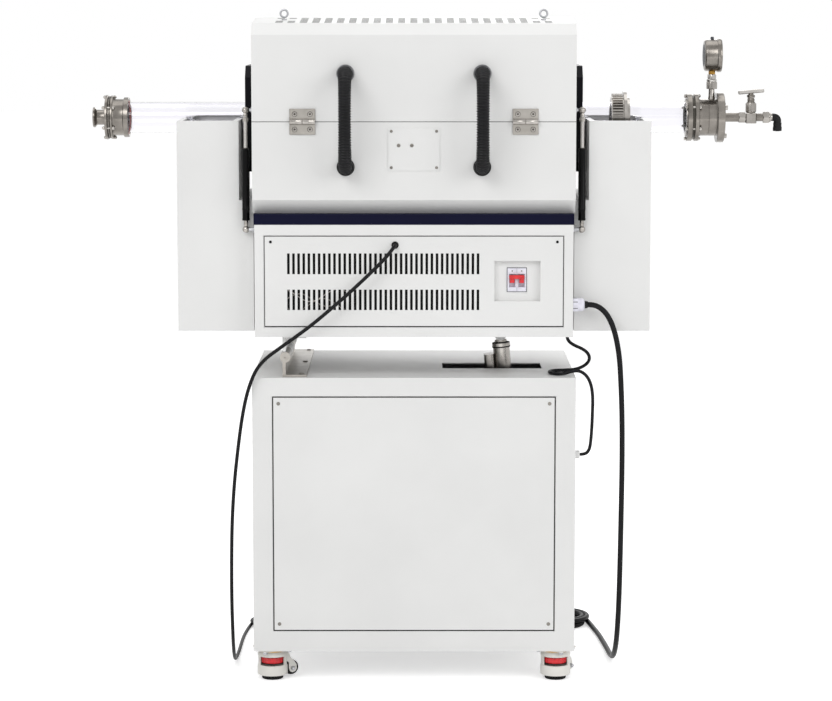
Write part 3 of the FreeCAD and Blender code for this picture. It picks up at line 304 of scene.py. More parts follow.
# Dark grey moulding for the bezel, the screen marks and the hubs, also used as painted shade in openings and gaps.
DARK_GREY_AND_GAP_SHADE = moulded("dark_grey_moulding_and_painted_gap_shade", "#2C2E33", "#3D4046", 0.5)
SEAM = moulded("grey_seam_shadow", "#3C3C3B", "#4C4C4A", 0.8, sheen=0.1)
# Near-black strips in the joints round the panels and doors: painted shade of the gaps.
PAINTED_GAP_SHADE = moulded("painted_panel_gap_shade", "#0B0B0B", "#151515", 0.8, sheen=0.1)
YELLOW_PLASTIC = moulded("yellow_moulded_plastic", "#D9A514", "#EBB822", 0.4)
LIT_SCREEN = powder_coat("dim_display_film", "#12324C", "#1B4463", 0.12)
SCREEN = powder_coat("dark_screen_glass", "#0A0F1A", "#0D1422", 0.08)
# Window glass: colourless and smooth, so that only its reflections show.
CLEAR_GLASS = material("flat_window_glass", gloss=(0.0, 0.02, 0.01), IOR=1.5, Transmission_Weight=1.0)

CARRIED_OVER = {
    WHITE: ["cart_cabinet", "cart_back_panel", "cart_door", "control_box", "vent_panel", "front_panel",
            "lower_shell", "lid_shell", "wing_left", "wing_right", "cover_plate"],
    NAVY: ["base_band"],
    END_BLACK: ["end_covers_lower", "end_covers_lid"],
    SATIN: ["cart_brackets", "actuator_rod"],
    DULL_STEEL: ["cart_screws"],
    ZINC: ["lid_fittings", "drive_pinion"],
    CAST_ALUMINIUM: ["tube_bearings"],
    PALE_STEEL: ["tube_gear", "actuator_body"],
    FIBRE: ["lower_insulation", "lid_insulation"],
    BLACK_PLASTIC: ["base_glands", "gauge_pointer"],
    GLOSS_BLACK: ["drive_motor"],
}
for finish, names in CARRIED_OVER.items():
    for name in names:
        slots = NODES[name].material_slots
        if not slots:
            NODES[name].data.materials.append(finish)
        for spot in slots:
            spot.material = finish


# --- shapes as arrays
AXIS = {"x": (1, 0, 0), "y": (0, 1, 0), "z": (0, 0, 1), "-x": (-1, 0, 0), "-y": (0, -1, 0), "-z": (0, 0, -1)}


def quads(rows, columns, loop_rows=False, loop_columns=True):
    """Corner numbers of the faces of a grid, row by row."""
    index = np.arange(rows * columns).reshape(rows, columns)
    if loop_rows:
        index = np.vstack([index, index[:1]])
    if loop_columns:
        index = np.hstack([index, index[:, :1]])
    return np.stack([index[:-1, :-1], index[:-1, 1:], index[1:, 1:], index[1:, :-1]], -1).reshape(-1, 4)


def hexagonal(across):
    """Radius of a hexagon at each angle: half the width over flats, over the cosine of the angle
    from the nearest flat's middle."""
    return lambda angle: across / 2 / np.cos(np.mod(angle, np.pi / 3) - np.pi / 6)


def scalloped(radius, depth, count):
    """Radius of a knurled or ribbed rim: a circle plus a cosine wave with count crests."""
    return lambda angle: radius + depth * np.cos(count * angle)


def lathe(axis, spot, profile, finish, limit=None, sides=48):
    """A profile of (distance along, radius) in millimetres carried round an axis. Where limit is
    given the radius is the smaller of the profile's and the limit's at that angle."""
    along = np.array(AXIS[axis], float)
    across = np.cross((1, 0, 0) if along[2] else (0, 0, 1), along)
    run, radius = np.array(profile, float).T
    angle = np.linspace(0, 2 * np.pi, sides, endpoint=False)
    reach = np.repeat(radius[:, None], sides, 1)
    if limit:
        reach = np.minimum(reach, limit(angle))
    ring = across * np.cos(angle)[:, None] + np.cross(along, across) * np.sin(angle)[:, None]
    points = np.array(spot, float) + run[:, None, None] * along + reach[:, :, None] * ring[None]
    return points.reshape(-1, 3), quads(len(run), sides), finish


def rod(axis, spot, start, end, radius, finish, sides=48):
    """A plain round bar between two distances along its axis."""
    return lathe(axis, spot, [(start, 0), (start, radius), (end, radius), (end, 0)], finish, sides=sides)


def nut(axis, spot, across, length, finish):
    """A hexagon bar with a chamfer at both ends."""
    top, ends = across * 0.5774, across * 0.5
    bevel = min(0.9, length / 4)
    profile = [(0, 0), (0, ends), (bevel, top), (length - bevel, top), (length, ends), (length, 0)]
    return lathe(axis, spot, profile, finish, hexagonal(across))


def dome_nut(axis, spot, across, finish):
    """A hexagon base with a rounded cap: the cap's radius is a quarter of a circle."""
    cap = [(0.45 * across + 0.42 * across * math.sin(a), 0.46 * across * math.cos(a))
           for a in np.linspace(0, math.pi / 2, 6)]
    return [nut(axis, spot, across, 0.5 * across, finish), lathe(axis, spot, cap, finish, sides=24)]


def slab(low, high, finish, round_by=0.6):
    """A block with its edges cut back: the same eight-cornered outline at four heights, drawn in by
    the cut at the lowest and the highest, and closed to the middle."""
    low, high = np.array(low, float), np.array(high, float)
    middle, (wide, deep, tall) = (low + high) / 2, (high - low) / 2
    cut = min(round_by, min(wide, deep, tall) * 0.45)
    inset = np.array((wide, cut, 0, 0, cut, wide), float)
    level = np.array((-tall, -tall, cut - tall, tall - cut, tall, tall))
    outer_x, outer_y = np.maximum(wide - inset, 0), np.maximum(deep - inset, 0)
    inner_x, inner_y = np.minimum(outer_x, wide - cut), np.minimum(outer_y, deep - cut)
    inner_x[[0, -1]] = inner_y[[0, -1]] = outer_x[[0, -1]] = outer_y[[0, -1]] = 0
    across = np.stack([outer_x, outer_x, inner_x, -inner_x, -outer_x, -outer_x, -inner_x, inner_x], 1)
    up = np.stack([-inner_y, inner_y, outer_y, outer_y, inner_y, -inner_y, -outer_y, -outer_y], 1)
    points = np.stack([across, up, np.repeat(level[:, None], 8, 1)], -1) + middle
    return points.reshape(-1, 3), quads(6, 8), finish


def arc_of(spot, profile, start, end, finish, sides=24):
    """A closed profile of (height, radius) carried round the vertical from one angle to another in
    degrees, with its two ends closed."""
    height, radius = np.array(profile, float).T
    angle = np.radians(np.linspace(start, end, sides))
    points = np.stack([radius[:, None] * np.cos(angle), radius[:, None] * np.sin(angle),
                       np.repeat(height[:, None], sides, 1)], -1)
    count = len(height)
    faces = quads(count, sides, True, False).tolist()
    faces += [[sides * row + end for row in range(count)] for end in (0, sides - 1)]
    return points.reshape(-1, 3) + np.array(spot, float), faces, finish


def plate(outline, low, high, finish):
    """A flat shape of given (x, z) corners between two distances along Y."""
    count = len(outline)
    points = [(x, y, z) for y in (low, high) for x, z in outline]
    faces = [(i, (i + 1) % count, (i + 1) % count + count, i + count) for i in range(count)]
    return points, faces + [tuple(range(count)), tuple(range(count, 2 * count))], finish


def sweep(points, radius, finish, sides=16):
    """A round bar along points in millimetres: each ring is the centre plus radius times (cos a, sin a)
    on the two side directions. The radius may change from point to point; the ends are closed."""
    points = np.array(points, float)
    side, other = sides_along(points)
    angle = np.linspace(0, 2 * np.pi, sides, endpoint=False)
    ring = side[:, None] * np.cos(angle)[:, None] + other[:, None] * np.sin(angle)[:, None]
    surface = points[:, None] + ring * (radius * np.ones(len(points)))[:, None, None]
    ends = [np.repeat(points[at:at + 1 or None, None], sides, 1) for at in (0, -1)]
    return np.concatenate([ends[0], surface, ends[1]]).reshape(-1, 3), quads(len(points) + 2, sides), finish


def moved(surface, shift, turn):
    """The same surface turned by a rotation matrix and then shifted."""
    points, faces, finish = surface
    return np.asarray(points, float) @ np.array(turn).T + np.array(shift, float), faces, finish


def flat(surfaces):
    """The surfaces of a nested list, one by one."""
    for surface in surfaces:
        if isinstance(surface, list):
            yield from flat(surface)
        else:
            yield surface


def shown(name, data):
    """A new object in the scene."""
    made = bpy.data.objects.new(name, data)
    bpy.context.scene.collection.objects.link(made)
    return made


def piece(name, body, surfaces, slot, replaces=(), crease=32):
    """One object from surfaces in millimetres. Doubled points are merged, faces are turned outwards
    and edges sharper than crease degrees stay crisp."""
    whole = bmesh.new()
    finishes = []
    for points, faces, finish in flat(surfaces):
        if finish not in finishes:
            finishes.append(finish)
        mesh = bpy.data.meshes.new("part")
        mesh.from_pydata((np.asarray(points, float) * MM).tolist(), [], [list(face) for face in faces])
        mesh.polygons.foreach_set("material_index", np.full(len(faces), finishes.index(finish)))
        mesh.polygons.foreach_set("use_smooth", np.full(len(faces), True))
        part = bmesh.new()
        part.from_mesh(mesh)
        bmesh.ops.remove_doubles(part, verts=part.verts, dist=1e-6)
        bmesh.ops.dissolve_degenerate(part, edges=part.edges, dist=1e-7)
        bmesh.ops.recalc_face_normals(part, faces=part.faces)
        part.to_mesh(mesh)
        part.free()
        whole.from_mesh(mesh)
        bpy.data.meshes.remove(mesh)
    mesh = bpy.data.meshes.new(name)
    whole.to_mesh(mesh)
    whole.free()
    mesh.set_sharp_from_angle(angle=math.radians(crease))
    for finish in finishes:
        mesh.materials.append(finish)
    made = shown(name, mesh)
    if body:
        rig.ride(made, body)
    for node in replaces:
        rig.replaces(made, node)
    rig.slot(made, slot)
    return made


# --- cords
def baked(curve):
    """Points and faces that a curve or a text makes; the curve itself goes."""
    holder = bpy.data.objects.new(curve.name, curve)
    mesh = bpy.data.meshes.new_from_object(holder)
    made = np.array([vertex.co[:] for vertex in mesh.vertices]), [list(face.vertices) for face in mesh.polygons]
    bpy.data.meshes.remove(mesh)
    bpy.data.objects.remove(holder)
    bpy.data.curves.remove(curve)
    return made


def centreline(name, route):
    """Points along a smooth NURBS line whose control points are the route's, in millimetres."""
    data = bpy.data.curves.new(name, "CURVE")
    data.dimensions = "3D"
    data.resolution_u = 10
    spline = data.splines.new("NURBS")
    spline.points.add(len(route) - 1)
    spline.points.foreach_set("co", np.insert(np.array(route) * MM, 3, 1, 1).ravel())
    spline.order_u = 3
    spline.use_endpoint_u = True
    return baked(data)[0]


def sides_along(points):
    """Two side directions at each point. They start square to the first tangent and each next pair is
    the last one with its part along the new tangent taken away, so a cord never twists."""
    tangent = np.gradient(points, axis=0)
    tangent /= np.linalg.norm(tangent, axis=1, keepdims=True)
    side = np.empty_like(points)
    last = np.cross(tangent[0], (0.3, 0.2, 1.0))
    for row, along in enumerate(tangent):
        last = last - along * np.dot(last, along)
        last /= np.linalg.norm(last)
        side[row] = last
    return side, np.cross(tangent, side)


def tube(name, points, radius, finish, slot, node, sides=20):
    """A lead or hose from its middle line and radius in metres; it is smooth all along."""
    return piece(name, None, [sweep(points / MM, radius / MM, finish, sides)], slot, [node], crease=180)


def travelled(points):
    """Distance along the line from its first point to each."""
    return np.concatenate([[0], np.cumsum(np.linalg.norm(np.diff(points, axis=0), axis=1))])


SENSOR_ROUTE = [(-36, -222, 854), (-36, -230, 854), (-42, -240, 846), (-56, -244, 829), (-84, -243, 801),
                (-119, -242, 768), (-160, -242, 732), (-202, -241, 697), (-248, -238, 664), (-297, -234, 628),
                (-318, -230, 580), (-330, -226, 526), (-339, -222, 462), (-347, -218, 392), (-352, -214, 318),
                (-354, -208, 242), (-355, -198, 166), (-355, -178, 98), (-356, -138, 44), (-357, -84, 14),
                (-357, -24, 5), (-356, 40, 4), (-356, 106, 3.5), (-355, 172, 3.5), (-351, 234, 3.5)]
MAINS_ROUTE = [(334, -205, 738), (346, -205, 738), (360, -206, 731), (372, -207, 718), (382, -207, 698),
               (390, -206, 670), (396, -205, 634), (399, -203, 590), (402, -202, 524), (403, -201, 430),
               (402, -201, 336), (401, -199, 244), (400, -192, 164), (399, -174, 100), (398, -138, 50),
               (397, -86, 20), (396, -24, 8), (394, 44, 6), (390, 112, 5.2), (385, 182, 5.2), (377, 248, 5.2)]
LINK_ROUTE = [(297, -150, 677), (297, -150, 668), (302, -150, 659), (313, -149, 652), (327, -147, 646),
              (339, -144, 637), (343, -140, 625), (337, -136, 614), (324, -133, 606), (308, -131, 602),
              (292, -131, 601.6), (277, -134, 601.6), (266, -144, 601.6), (262, -160, 601.6), (267, -177, 601.6),
              (279, -189, 601.6), (292, -193, 603), (305, -195, 608), (319, -196, 609), (331, -197, 602),
              (339, -198, 590), (343.5, -198, 575), (345.5, -198, 556), (345, -198, 528), (344, -198, 498),
              (342, -198, 470), (339.5, -198, 455), (332, -198, 446), (320.5, -198, 446)]


def wound(centre, radius, thick, first, turn, total):
    """Points of a lead wound up on the floor, two turns abreast and two high, 20 to a turn. It starts
    outside and low, steps in, then up, then out again, each step over a sixth of a turn and where
    nothing else lies: in by 360 degrees, up by 660 and out by 900."""
    swept = np.arange(0, total + 1, 18.0)
    ease = [np.clip((swept - start) / 60, 0, 1) for start in (300, 600, 840)]
    inward, upward, outward = [step * step * (3 - 2 * step) for step in ease]
    reach = radius + thick / 2 - thick * inward + thick * outward
    height = thick / 2 + thick * upward
    angle = np.radians(first + turn * swept)
    return np.stack([centre[0] + reach * np.cos(angle), centre[1] + reach * np.sin(angle), height], 1).tolist()


def cords():
    """Three leads, each bending from the tilting box to the cart; a lead's spare length is wound up."""
    sensor = SENSOR_ROUTE + wound((-303, 286), 39, 7.2, 180, -1, 1210)
    sensor += [(-258, 299, 9), (-246, 284, 6.4), (-237, 272, 6), (-236, 262, 6)]
    mains = MAINS_ROUTE + wound((306, 310), 58, 10.6, 0, 1, 1220)
    mains += [(237, 336, 13), (219, 312, 9), (209, 292, 8), (207, 276, 8)]
    for name, route, diameter, far_end, hold, extra in (
            ("sensor_lead", sensor, 0.007, "connector", 15, [sensor_connector()]),
            ("mains_lead", mains, 0.0104, "plug", 12, [mains_plug()]),
            ("link_lead", LINK_ROUTE, 0.0064, "object", 9, [])):
        line = centreline(name, route)
        lead = tube(name, line, diameter / 2, CABLE, "black_rubber", name.replace("_lead", "_cable"))
        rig.blend(lead, "box", "cart", start=line[0], end=Vector(route[hold]) * MM)
        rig.cord(lead, exit=line[0], length=round(float(travelled(line)[-1]), 3), diameter=diameter, far_end=far_end,
                stiffness="medium", lay="loose", path=line, with_pieces=extra)


def sensor_connector():
    """A cable connector of two half shells with a knurled ring and a short boot."""
    boot = [(268, 0), (268, 3.9), (262, 4.4), (252, 5.6), (252, 0)]
    parts = [lathe("y", (-236, 0, 6), boot, BLACK_PLASTIC, sides=24),
             slab((-245, 238, 0.2), (-227, 254, 11.8), BLACK_PLASTIC, 1.6),
             lathe("y", (-236, 0, 6), [(230, 0), (230, 5.6), (230.6, 5.9), (239.4, 5.9), (240, 5.6), (240, 0)], NICKEL,
                   scalloped(5.7, 0.15, 24), 96)]
    return piece("sensor_connector", "cart", parts, "black_plastic", ["cable_plugs"])


def mains_plug():
    """A moulded plug with a ribbed boot and two flat pins and a round one."""
    run = np.linspace(274, 292, 37)
    ribs = 7.2 - 0.1 * (run - 274) + 0.4 * np.sign(np.sin(run * 1.7))
    parts = [lathe("y", (207, 0, 8), [(274, 0), *zip(run, ribs), (292, 0)], BLACK_PLASTIC, sides=32),
             slab((190, 228, 0.2), (224, 276, 22), BLACK_PLASTIC, 5),
             slab((192, 226, 2), (222, 230, 28), BLACK_PLASTIC, 2.5)]
    parts += [slab((x - 3.2, 208, 8), (x + 3.2, 227, 10), NICKEL, 0.5) for x in (200, 214)]
    parts.append(lathe("-y", (207, 227, 20), [(0, 0), (0, 2.4), (16, 2.4), (18, 1.2), (18, 0)], NICKEL, sides=20))
    return piece("mains_plug", "cart", parts, "black_plastic", ["cable_plugs"])


# --- tube flanges
TUBE_Z = 1089
TUBE = (0, 0, TUBE_Z)


def round_the_tube(radius, count, first=90.0):
    """Places evenly round the tube's axis, as (y, z) pairs."""
    angle = np.radians(first + 360 * np.arange(count) / count)
    return np.stack([radius * np.cos(angle), TUBE_Z + radius * np.sin(angle)], 1)


def red_seal(x, ring, thick):
    """The rubber cord that shows where the tube enters a flange: a small circle carried round it."""
    turn = np.linspace(0, 2 * np.pi, 13)
    return lathe("x", TUBE, np.stack([x + thick * np.cos(turn), ring + thick * np.sin(turn)], 1), RED_SEAL, sides=72)


def left_flange():
    """Two profiles carried round the tube's axis, with six bolts evenly round it."""
    port = [(-634, 11), (-634, 19.3), (-633.3, 20), (-630.6, 20), (-629.8, 19.4), (-626.6, 15.6), (-625.6, 15),
            (-611, 15), (-609.4, 15.6), (-608.4, 16.8), (-608.4, 43.2), (-607.6, 44), (-604.2, 44), (-603.4, 43.2),
            (-603.4, 40.4), (-600.4, 40.4), (-600.4, 11), (-634, 11)]
    sleeve = [(-600.4, 30.2), (-600.4, 40.4), (-598, 40.4), (-598, 42.4), (-597.3, 43), (-594.2, 43), (-593.4, 42.4),
              (-593.4, 36.6), (-592.4, 36), (-573.4, 36), (-572.6, 36.6), (-572.6, 38.8), (-571.8, 39.5),
              (-563.6, 39.5), (-562.8, 38.8), (-562.8, 35), (-569, 31.2), (-569, 30.2), (-600.4, 30.2)]
    # The dark ring in the groove between the port and the sleeve is painted shade.
    gap = [(-601.6, 41.4), (-602.6, 41.4), (-603.2, 40.4), (-598.2, 40.4), (-599, 41.4), (-600, 41.4)]
    parts = [lathe("x", TUBE, port, TURNED, sides=96), lathe("x", TUBE, sleeve, TURNED, sides=96),
             lathe("x", TUBE, gap, GAP_SHADE_STEEL, sides=72), red_seal(-565.5, 32.4, 2.2)]
    for y, z in round_the_tube(39.7, 6):
        parts += [dome_nut("-x", (-608.4, y, z), 6.6, PALE_STEEL), dome_nut("x", (-593.4, y, z), 6.6, PALE_STEEL),
                  rod("x", (0, y, z), -608, -593.6, 2.1, PALE_STEEL, 16)]
    piece("left_end_flange", "box", parts, "stainless", ["left_flange"])


def right_flange():
    """Sleeve and cap carried round the tube's axis, six bolts, four socket screws and a key."""
    sleeve = [(536, 30.2), (536, 33.5), (536.8, 37), (538.4, 37.6), (538.4, 46.2), (539.2, 47), (547.6, 47),
              (548.4, 46.2), (548.4, 41), (551, 41), (551, 30.2), (536, 30.2)]
    cap = [(551, 11), (551, 41), (553.2, 41), (553.2, 46.2), (554, 47), (560.4, 47), (561.2, 46.2), (561.2, 37.1),
           (562, 36.5), (579.6, 36.5), (580, 36.1), (580.8, 36.1), (581.2, 36.5), (596, 36.5), (597, 37.2),
           (597, 48.8), (598, 49.6), (610.4, 49.6), (611.4, 48.6), (611.4, 30), (612, 29), (612, 9), (642, 9),
           (642, 3), (600, 3), (600, 11), (551, 11)]
    # The dark ring between the sleeve's rim and the cap's rim is painted shade of the gap between them.
    parts = [lathe("x", TUBE, sleeve, TURNED, sides=96), lathe("x", TUBE, cap, TURNED, sides=96),
             lathe("x", TUBE, [(548.6, 41.3), (548.6, 42), (553, 42), (553, 41.3)], GAP_SHADE_STEEL, sides=72),
             red_seal(538, 32.3, 2.0)]
    for y, z in round_the_tube(42, 6):
        parts += [nut("-x", (538.4, y, z), 6.6, 4.4, PALE_STEEL), dome_nut("x", (561.2, y, z), 6.6, PALE_STEEL),
                  rod("x", (0, y, z), 536, 563, 2.2, PALE_STEEL, 16)]
    socket_head = [(0, 0), (0, 4.6), (0.5, 5), (4.4, 5), (5, 4.5), (5, 2.6), (2.4, 2.6), (2.4, 0)]
    for y, z in round_the_tube(41, 4, 60):
        parts.append(lathe("x", (611.4, y, z), socket_head, PALE_STEEL, sides=24))
    parts.append(slab((611.4, -17, 1102), (614.6, 17, 1118), PALE_STEEL, 1.0))
    piece("right_end_flange", "box", parts, "stainless", ["right_flange"])


# --- gauge
GAUGE = (0, 0, 1211)


def tick_marks(x):
    """Marks round the dial from 225 degrees down to -45, with every tenth one long."""
    turn = np.radians(np.linspace(225, -45, 51))
    marks = []
    for number, angle in enumerate(turn):
        inner, wide = (22.6, 0.2) if number % 10 else (20.5, 0.45)
        out = np.array((math.cos(angle), math.sin(angle)))
        side = np.array((-out[1], out[0])) * wide
        corners = [out * inner - side, out * inner + side, out * 25.2 + side, out * 25.2 - side]
        marks.append(([(x, y, GAUGE[2] + z) for y, z in corners], [(0, 1, 2, 3)], BLACK_PLASTIC))
    return marks


def dial_numbers(x):
    """Plain numbers 0 to 5 inside the marks, as filled outlines turned to face along +X."""
    made = []
    for value in range(6):
        angle = math.radians(225 - 54 * value)
        text = bpy.data.curves.new("number", "FONT")
        text.body = str(value)
        text.size = 6.2
        text.align_x = text.align_y = "CENTER"
        points, faces = baked(text)
        shift = (16.2 * math.cos(angle), GAUGE[2] + 16.2 * math.sin(angle))
        made.append((np.insert(points[:, :2] + shift, 0, x, 1), faces, BLACK_PLASTIC))
    return made


def gauge():
    """Case and dial carried round the gauge's own axis, and the post under it round an upright one."""
    post = (588, 0, 0)
    case = [(572, 0), (572, 26), (572.6, 28.6), (574, 30.4), (576, 31.2), (596, 31.2), (597, 31.8), (598, 32.8),
            (600, 33.2), (604.6, 33.2), (606, 32.4), (606, 29.6), (604.4, 28.4), (590.6, 27.6), (590.6, 0)]
    stem = [(1123, 0), (1123, 7), (1126, 7), (1130, 6.2), (1144, 5.8), (1145, 6.4), (1145, 0)]
    parts = [lathe("x", GAUGE, case, TURNED, sides=96),
             lathe("x", GAUGE, [(590.7, 0), (590.7, 27.4)], DIAL_WHITE, sides=96),
             lathe("x", GAUGE, [(571.4, 0), (571.4, 21), (572.1, 22)], DARK_GREY_AND_GAP_SHADE, sides=72),
             lathe("z", post, stem, PALE_STEEL),
             nut("z", (588, 0, 1145), 20.4, 14, PALE_STEEL),
             lathe("z", post, [(1159, 0), (1159, 9.6), (1160, 10.2), (1163.4, 10.2), (1164.4, 9.4), (1164.4, 0)],
                   NICKEL),
             nut("z", (588, 0, 1164.4), 16.6, 9, NICKEL),
             nut("z", (588, 0, 1173.4), 12.6, 7, BRASS),
             lathe("z", post, [(1242, 0), (1242, 3.4), (1246, 3.4), (1247.4, 2.2), (1247.4, 0)], DARK_GREY_AND_GAP_SHADE, sides=24),
             rod("x", GAUGE, 590.8, 594.4, 1.1, NICKEL, 20)]
    piece("pressure_gauge", "box", parts + tick_marks(590.9) + dial_numbers(590.95), "stainless", ["gauge"])
    glass = lathe("x", GAUGE, [(602.6, 0), (602.6, 28.6), (604, 28.8), (604, 0)], CLEAR_GLASS, sides=72)
    piece("gauge_glass", "box", [glass], "stainless")


# --- outlet valve
def valve():
    """Turned profiles and hexagons on the tube's axis and an upright one; the elbow is a swept quarter."""
    bonnet, outlet = (666, 0, 0), (719, 0, 0)
    parts = [nut("x", (642, 0, TUBE_Z), 20.6, 13, PALE_STEEL),
             rod("x", TUBE, 655, 691, 8, TURNED),
             slab((655.5, -10.5, 1077), (676.5, 10.5, 1098), PALE_STEEL, 1.4),
             nut("x", (690, 0, TUBE_Z), 22, 12, PALE_STEEL),
             lathe("x", TUBE, [(702, 0), (702, 9.4), (703, 10), (705, 10), (706, 8), (712, 6.6), (712, 0)], PALE_STEEL),
             lathe("z", bonnet, [(1096, 0), (1096, 9.2), (1099, 9.2), (1101, 10.4), (1101, 0)], TURNED),
             nut("z", (666, 0, 1100), 20.4, 17, PALE_STEEL),
             lathe("z", bonnet, [(1116, 0), (1116, 9.4), (1119.4, 8), (1119.4, 6), (1127.6, 6), (1127.6, 0)], TURNED),
             nut("z", (666, 0, 1119.4), 13.6, 7, TURNED)]
    bend = np.radians(np.linspace(0, 90, 9))
    elbow = [(708, 0, TUBE_Z), (712, 0, TUBE_Z)]
    elbow += [(712 + 7 * math.sin(a), 0, TUBE_Z - 7 + 7 * math.cos(a)) for a in bend[1:]]
    elbow += [(719, 0, TUBE_Z - 12)]
    # The dark disc at the outlet's mouth is painted shade inside its bore.
    parts += [sweep(elbow, 7.6, BLACK_PLASTIC, 28),
              lathe("z", outlet, [(1062, 0), (1062, 6), (1062, 8.2), (1062.8, 8.9), (1070, 8.9), (1071, 8.2),
                                  (1078, 8.4), (1079, 7.6), (1079, 0)], BLACK_PLASTIC, sides=40),
              lathe("z", outlet, [(1061.4, 0), (1061.4, 4.2), (1062.4, 5)], DARK_GREY_AND_GAP_SHADE, sides=32)]
    piece("needle_valve", "box", parts, "stainless", ["valve_body"])
    spindle = [(1128, 0), (1128, 7.6), (1129, 8), (1133, 8), (1134, 5.4), (1137, 4.6), (1137, 0)]
    bar = slab((-25.5, -6.5, -4), (25.5, 6.5, 4), NICKEL, 1.4)
    tilt = Matrix.Rotation(math.radians(-5), 3, "Y")
    parts = [lathe("z", (666, 0, 0), spindle, TURNED, sides=40), moved(bar, (666, 0, 1140), tilt)]
    piece("valve_tee_handle", "valve_turn", parts, "stainless", ["valve_handle"])


# --- levelling casters
CASTER_SPOTS = {1: (-277, -180, 25), 2: (-277, 180, 150), 3: (277, -180, 60), 4: (277, 180, 20)}
WHEEL = (36.5, 0, 19)  # the wheel's middle, seen from its swivel


def caster(number):
    """One levelling caster: a housing with two windows for the red dial, a small black wheel behind it
    between two arms, and a rubber pad inside the housing's skirt."""
    x, y, heading = CASTER_SPOTS[number]
    turn = Matrix.Rotation(math.radians(heading), 3, "Z")
    spot = (x, y, 0)

    def put(surfaces):
        return [moved(s, spot, turn) for s in flat(surfaces)]

    head = [(45.8, 0), (45.8, 28.4), (46.8, 29.2), (50, 29.2), (52.6, 28.2), (54.6, 26.4), (56, 26), (56, 0)]
    skirt = [(9.4, 25.2), (8.8, 26), (8.8, 28.4), (9.8, 29.6), (24.6, 29.6), (27, 29.2), (28.4, 27.8), (28.4, 25.2)]
    dial = [(39.4, 0), (39.4, 5.6), (32.5, 5.6), (32.5, 22.2), (33.3, 23.2), (42.7, 23.2), (43.5, 22.2), (43.5, 0)]
    # The washer under the red dial is in the steel darkened as painted gap shade.
    parts = [lathe("z", spot, head, CAST_WHITE, sides=72),
             arc_of(spot, skirt, heading + 27, heading + 333, CAST_WHITE, 72),
             rod("z", spot, 56, 58.4, 27.2, BRASS, 56),
             lathe("z", spot, [(29.2, 5.6), (29.2, 25.2), (31.6, 25.2), (31.6, 5.6), (29.2, 5.6)], GAP_SHADE_STEEL),
             lathe("z", spot, dial, RED_PLASTIC, scalloped(22.6, 0.6, 18), 144)]
    for start in range(-30, 330, 180):
        for step in range(0, 60, 6):
            over_wheel = abs((start + step + 3 - heading + 180) % 360 - 180) < 30
            foot = 35.5 if over_wheel else 28
            wall = [(foot, 25.4), (foot, 28.2), (46.4, 28.2), (46.4, 25.4)]
            parts.append(arc_of(spot, wall, start + step, start + step + 6, CAST_WHITE, 3))
    parts += put([slab((-30, -30, 58.4), (30, 30, 61.6), CAST_WHITE, 1.0),
                  *(nut("-z", (x_side, y_side, 58.4), 8, 4.4, ZINC) for x_side in (-25, 25) for y_side in (-25, 25))])
    arm = [(22, 51), (28.4, 51), (32.6, 40), (40, 33), (44.6, 25), (44.8, 17), (41.6, 12), (36.5, 10.2),
           (31, 12.4), (29, 18), (28.6, 30), (22, 36)]
    parts += put([plate(arm, -15, -12.6, CAST_WHITE), plate(arm, 12.6, 15, CAST_WHITE),
                  slab((22, -12.6, 37), (27.4, 12.6, 51), CAST_WHITE, 0.8),
                  *(dome_nut(way, (WHEEL[0], out, WHEEL[2]), 8, ZINC) for way, out in (("y", 15), ("-y", -15)))])
    piece(f"caster_body_{number}", f"caster_swivel_{number}", parts, "cast_white", [f"caster_housing_{number}"])

    tread = [(-10, 0), (-10, 12.2), (-9.4, 13.6), (-7.8, 14.6), (-5, 15), (5, 15), (7.8, 14.6), (9.4, 13.6),
             (10, 12.2), (10, 0)]
    hub = [(-11.6, 0), (-11.6, 5), (-10.4, 7.4), (-9.8, 7.6)]
    parts = put([lathe("y", WHEEL, tread, BLACK_PLASTIC, sides=56),
                 *(lathe(way, WHEEL, hub, DARK_GREY_AND_GAP_SHADE, sides=32) for way in ("y", "-y"))])
    piece(f"caster_roller_{number}", f"caster_roll_{number}", parts, "black_plastic", [f"caster_wheel_{number}"])

    pad = [(0, 0), (0, 19.6), (0.8, 20.6), (2.6, 21), (6.4, 21), (7.6, 20.4), (8, 17), (13, 9), (14, 5), (32, 5),
           (32, 0)]
    piece(f"caster_pad_{number}", f"caster_level_{number}", [lathe("z", spot, pad, BLACK_RUBBER_AND_SHADE, sides=64)],
          "black_rubber", [f"caster_foot_{number}"])


def casters():
    """The four casters, each turned to its own heading."""
    for number in CASTER_SPOTS:
        caster(number)


# --- lid hinges
HINGE_X = 212


def countersunk(spot, radius):
    """A flat countersunk head with a hexagon socket. The dark ring at its edge and the dark hexagon are painted shade
    of the countersink and the socket.
    """
    head = [(0.1, 0), (0.1, radius * 0.36), (0.25, radius * 0.86), (0.2, radius * 0.92)]
    rim = [(0.05, radius * 0.9), (0.16, radius * 0.92), (0.16, radius * 1.1), (0.05, radius * 1.12)]
    socket = [(0.14, 0), (0.22, radius * 0.34), (0.22, radius * 0.44), (0.1, radius * 0.46)]
    return [lathe("-y", spot, head, PALE_STEEL, sides=32), lathe("-y", spot, rim, GAP_SHADE_STEEL, sides=32),
            lathe("-y", spot, socket, GAP_SHADE_STEEL, hexagonal(radius * 0.8), 36)]


